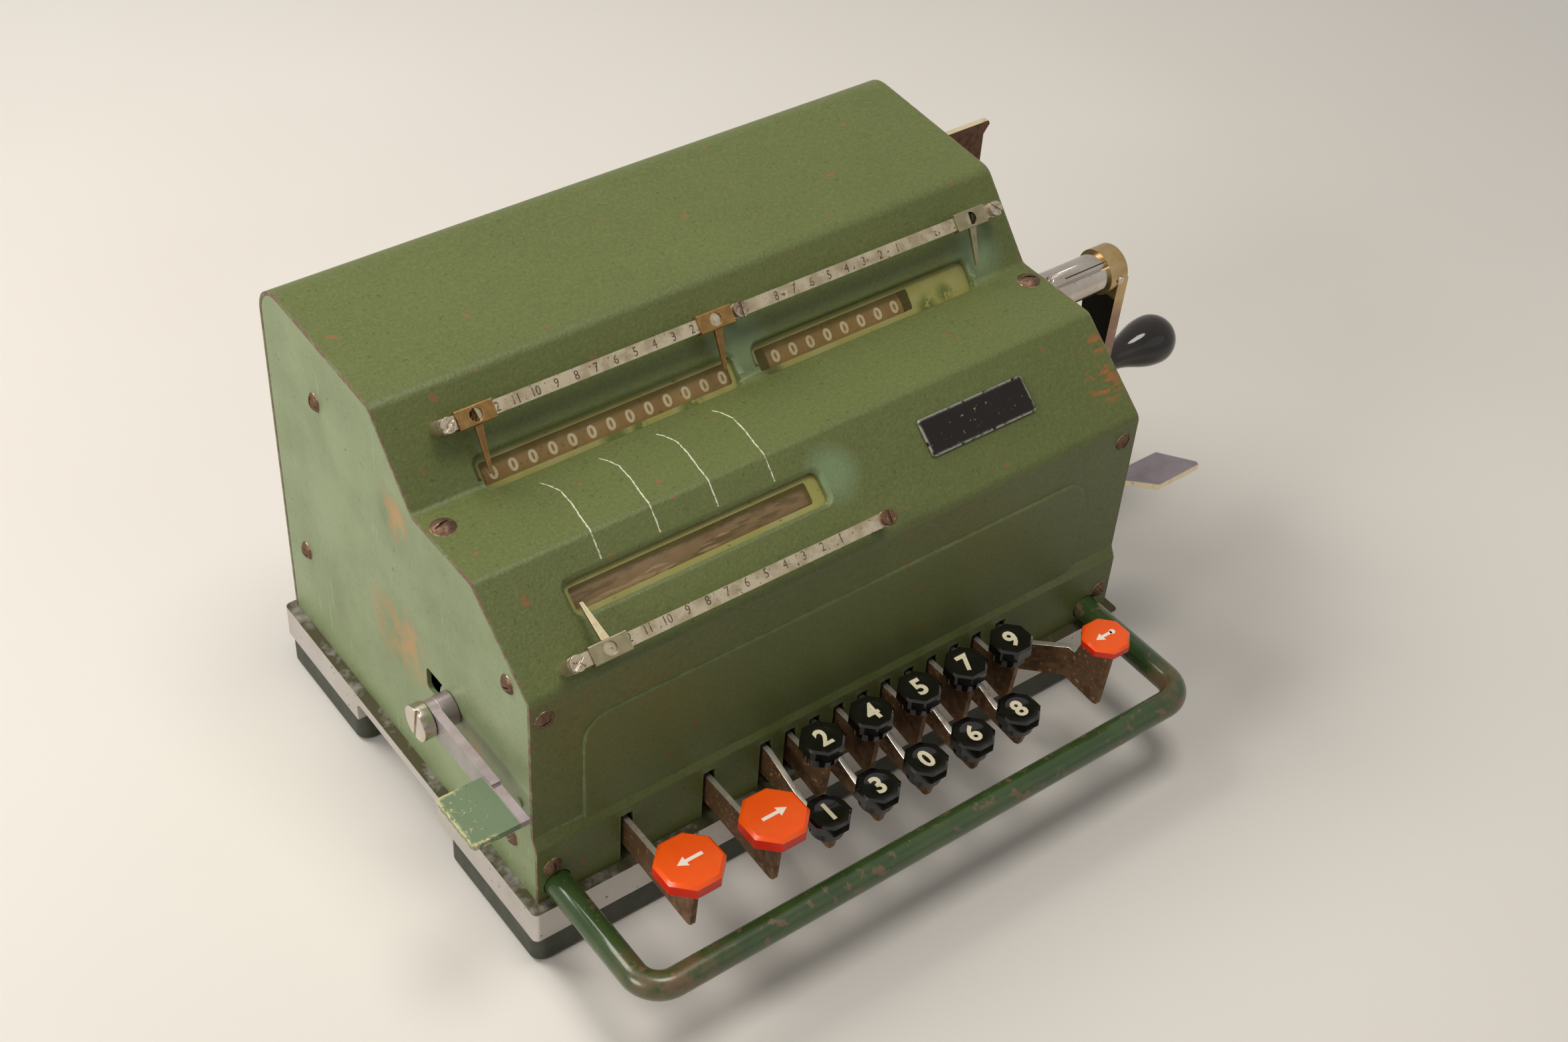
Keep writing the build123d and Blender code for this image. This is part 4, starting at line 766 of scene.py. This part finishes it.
def arrowMesh(length, shaft, head, dot):
    # a flat arrow that points to -x: a bar, a three-sided head at its end, and a dot at its tail if asked for
    selectOnly(camera)
    bpy.ops.mesh.primitive_cube_add(size=1.0)
    arrow = bpy.context.object
    arrow.data.transform(Matrix.Translation((head / 2, 0, 0))
                         @ Matrix.Diagonal((length - head, shaft, arrowThickness, 1)))
    parts = [arrow]
    bpy.ops.mesh.primitive_cylinder_add(vertices=3, radius=head / 1.5, depth=arrowThickness)
    tip = bpy.context.object
    tip.data.transform(Matrix.Rotation(math.radians(90), 4, 'Z'))
    lowX = min(v.co.x for v in tip.data.vertices)
    tip.data.transform(Matrix.Translation((-length / 2 - lowX, 0, 0)))
    parts.append(tip)
    if dot:
        bpy.ops.mesh.primitive_cylinder_add(vertices=20, radius=shaft * 0.95, depth=arrowThickness)
        end = bpy.context.object
        end.data.transform(Matrix.Translation((length / 2 + shaft * 0.2, 0, 0)))
        parts.append(end)
    bpy.ops.object.select_all(action='DESELECT')
    for part in parts:
        part.select_set(True)
    bpy.context.view_layer.objects.active = arrow
    bpy.ops.object.join()
    mesh = arrow.data
    bpy.data.objects.remove(arrow)
    return mesh


arrowLook = {  # key: (x, y, top, length, shaft, head, points left, dot)
    "step_left_key": (-84.0, -28.0, 44.5, 9.0, 1.2, 3.2, True, False),
    "step_right_key": (-53.4, -28.0, 44.5, 9.0, 1.2, 3.2, False, False),
    "carriage_return_key": (79.0, -28.6, 46.0, 6.8, 1.1, 2.8, True, True),
}
for key, (x, y, top, length, shaft, head, left, dot) in arrowLook.items():
    mesh = arrowMesh(length, shaft, head, dot)
    turn = Matrix.Identity(4) if left else Matrix.Rotation(math.pi, 4, 'Z')
    mesh.transform(machine @ Matrix.Translation((x, y, top)) @ turn)
    joined(f"{key}_arrow", [mesh], "white_ink", key)
print("legends placed")


# cards behind the panes, with their marks
cardLook = {"depth": (3.62, 3.95), "border": 1.75, "lap": 1.6, "slotCorner": 0.9, "cornerSteps": 5,
            "windowHeight": 10.5}
windows = {  # name: (slope, x from, x to, middle up, x where the slot ends)
    "result": (steepSlope, -92.0, -0.2, 0.85, -1.6),
    "counter": (steepSlope, 7.3, 94.5, 0.85, 70.6),
    "setting": (frontSlope, -91.4, -1.2, 0.0, -5.5),
}
for name, (slope, low, high, middle, slotEnd) in windows.items():
    selectOnly(camera)
    bpy.ops.mesh.primitive_plane_add(size=1.0)
    card = bpy.context.object
    slotLow, slotHigh = low + cardLook["border"], slotEnd
    halfWindow = cardLook["windowHeight"] / 2
    halfSlot = halfWindow - cardLook["border"]
    card.data.transform(Matrix.Translation(((slotLow + slotHigh) / 2, middle, 0))
                        @ Matrix.Diagonal((slotHigh - slotLow, 2 * halfSlot, 1, 1)))
    bpy.ops.object.mode_set(mode='EDIT')
    bpy.ops.mesh.select_all(action='SELECT')
    bpy.ops.mesh.bevel(offset=cardLook["slotCorner"], segments=cardLook["cornerSteps"], affect='VERTICES')
    bpy.ops.mesh.extrude_region()  # the slot's rim, drawn out to the card's rim
    bpy.ops.object.mode_set(mode='OBJECT')
    mesh = card.data
    for vertex in [v for v in mesh.vertices if v.select]:
        if vertex.co.x < (slotLow + slotHigh) / 2:
            vertex.co.x += low - cardLook["lap"] - slotLow
        else:
            vertex.co.x += high + cardLook["lap"] - slotHigh
        vertex.co.y += math.copysign(halfWindow + cardLook["lap"] - halfSlot, vertex.co.y - middle)
    bpy.ops.object.mode_set(mode='EDIT')
    bpy.ops.mesh.select_mode(type='FACE')
    bpy.ops.mesh.select_all(action='DESELECT')
    bpy.ops.object.mode_set(mode='OBJECT')
    for face in mesh.polygons:
        face.select = len(face.vertices) > 4
    bpy.ops.object.mode_set(mode='EDIT')
    bpy.ops.mesh.delete(type='FACE')
    bpy.ops.object.mode_set(mode='OBJECT')
    card.data.transform(Matrix.Translation((0, 0, -cardLook["depth"][0])))
    wall = card.modifiers.new("thickness", 'SOLIDIFY')
    wall.thickness = cardLook["depth"][1] - cardLook["depth"][0]
    wall.offset = -1.0
    bpy.ops.object.modifier_apply(modifier=wall.name)
    card.data.transform(slope)
    settle(card, f"{name}_card", "dial_card", "chassis")

# marks on the cards: a red triangle under the units, small orange points between the numbers
markLook = {"triangles": [(-3.3, -3.3), (65.4, -3.3)], "triangleRadius": 0.95, "triangleDepth": 0.16,
            "pointRadius": 0.24, "pointDepth": 0.1, "pointUp": -2.5, "pointSink": -3.6}
marks = []
for x, up in markLook["triangles"]:
    bpy.ops.mesh.primitive_cylinder_add(vertices=3, radius=markLook["triangleRadius"],
                                        depth=markLook["triangleDepth"], rotation=(0, 0, math.radians(30)))
    triangle = bpy.context.object
    bpy.ops.object.transform_apply(location=False, rotation=True, scale=False)
    bevelAll(0.05, 1)
    triangle.data.transform(steepSlope @ Matrix.Translation((x, up, -cardLook["depth"][0])))
    marks.append(triangle.data)
    bpy.data.objects.remove(triangle)
bpy.ops.mesh.primitive_cylinder_add(vertices=10, radius=markLook["pointRadius"], depth=markLook["pointDepth"])
point = bpy.context.object
bevelAll(0.04, 1)
for name in ("result", "counter"):
    firstX, count = registers[name][:2]
    for n in range(count):
        mesh = point.data.copy()
        between = firstX + (n + 0.5) * wheelLook["pitch"]
        mesh.transform(steepSlope @ Matrix.Translation((between, markLook["pointUp"], markLook["pointSink"])))
        marks.append(mesh)
bpy.data.objects.remove(point)
joined("dial_marks", marks, "red_mark", "chassis")
print("cards placed")


# numbers stamped in the rails
railLook = {"height": 2.8, "width": 1.9, "depth": 0.1, "face": 8.6, "sink": 0.05}
railRuns = [  # slope, first and last number, x of the first, step to the next, place up the slope
    (steepSlope, 12, 2, -83.27, 6.87, 17.9),
    (steepSlope, 8, 1, 17.0, 6.87, 17.9),
    (frontSlope, 12, 1, -84.35, 6.85, -16.5),
]
railNumbers = []
for slope, first, last, firstX, step, up in railRuns:
    for n, label in enumerate(range(first, last - 1, -1)):
        mesh = digitMesh(str(label), railLook["height"], railLook["width"], railLook["depth"], 0.0)
        mesh.transform(slope @ Matrix.Translation((firstX + n * step, up, railLook["face"] - railLook["sink"])))
        railNumbers.append(mesh)
joined("rail_numbers", railNumbers, "engraving", "chassis")


# the four pale lines from the result dials down to the setting dials
lineLook = {
    "places": [-77.0, -56.7, -36.2, -15.7],
    "width": 0.42, "steps": 48, "lift": 0.06, "thickness": 0.09, "above": 128.0,
    "shake": 0.07, "fatness": (0.7, 1.25),
    "course": [(60.6, -1.0), (58.5, 0.6), (54.5, 2.2), (48.3, 2.0), (40.9, 0.8), (34.2, 0.1), (29.3, -0.4),
               (28.2, -0.5)],  # y, sideways
}


def sideways(y):
    course = lineLook["course"]
    for (highY, first), (lowY, second) in zip(course, course[1:]):
        if y >= lowY:
            return second + (first - second) * (y - lowY) / (highY - lowY)
    return course[-1][1]


lineMeshes = []
for place in lineLook["places"]:
    selectOnly(camera)
    bpy.ops.mesh.primitive_plane_add(size=1.0)
    line = bpy.context.object
    bpy.ops.object.mode_set(mode='EDIT')
    bpy.ops.mesh.select_all(action='SELECT')
    bpy.ops.mesh.subdivide(number_cuts=lineLook["steps"] - 1)
    bpy.ops.object.mode_set(mode='OBJECT')
    jitter = {}  # the hand's unsteadiness: a shift and a width at each step
    startY, endY = lineLook["course"][0][0], lineLook["course"][-1][0]
    for vertex in line.data.vertices:
        y = endY + (vertex.co.y + 0.5) * (startY - endY)
        step = round((vertex.co.y + 0.5) * lineLook["steps"])
        if step not in jitter:
            jitter[step] = (random.uniform(-lineLook["shake"], lineLook["shake"]),
                            random.uniform(*lineLook["fatness"]))
        shift, fat = jitter[step]
        x = place + sideways(y) + shift + vertex.co.x * lineLook["width"] * fat
        vertex.co = at(x, y, lineLook["above"])
    wrap = line.modifiers.new("lay", 'SHRINKWRAP')
    wrap.target = frame["nodes"]["top_cover"]
    wrap.wrap_method = 'PROJECT'
    wrap.use_project_z = True
    wrap.use_negative_direction = True
    wrap.use_positive_direction = False
    wrap.offset = lineLook["lift"] * mm
    bpy.ops.object.modifier_apply(modifier=wrap.name)
    wall = line.modifiers.new("thickness", 'SOLIDIFY')
    wall.thickness = lineLook["thickness"] * mm
    wall.offset = -1.0
    bpy.ops.object.modifier_apply(modifier=wall.name)
    lineMeshes.append(line.data)
    bpy.data.objects.remove(line)
joined("decimal_lines", lineMeshes, "scratch_white", "chassis")
print("lines laid")

# oil hole and keyway in the crank's barrel, laid on it as dark pieces that paint the shade of their hollows
barrelLook = {"axis": (62.4, 109.0), "radius": 7.0, "sink": 0.06,
              "holeX": 121.0, "holeRadius": 1.1, "holeDepth": 0.3, "holeTurn": 62.0,
              "keyX": (128.0, 145.8), "keyWidth": 0.45, "keyDepth": 0.18, "keyTurn": 28.0}


def onBarrel(x, turn):
    # stands a flat piece on the barrel, its back to the axis
    y, z = barrelLook["axis"]
    return machine @ Matrix.Translation((x, y, z)) @ Matrix.Rotation(math.radians(turn), 4, 'X') @ \
        Matrix.Translation((0, 0, barrelLook["radius"] - barrelLook["sink"]))


bpy.ops.mesh.primitive_cylinder_add(vertices=24, radius=barrelLook["holeRadius"],
                                    depth=barrelLook["holeDepth"])
hole = bpy.context.object
bevelAll(0.06, 2)
hole.data.transform(onBarrel(barrelLook["holeX"], barrelLook["holeTurn"]))
bpy.ops.mesh.primitive_cube_add(size=1.0)
keyway = bpy.context.object
start, end = barrelLook["keyX"]
keyway.data.transform(Matrix.Diagonal((end - start, barrelLook["keyWidth"], barrelLook["keyDepth"], 1)))
bevelAll(0.05, 2)
keyway.data.transform(onBarrel((start + end) / 2, barrelLook["keyTurn"]))
barrelMarks = [hole.data, keyway.data]
for piece in (hole, keyway):
    bpy.data.objects.remove(piece)
joined("barrel_marks", barrelMarks, "dark_hole", "crank")
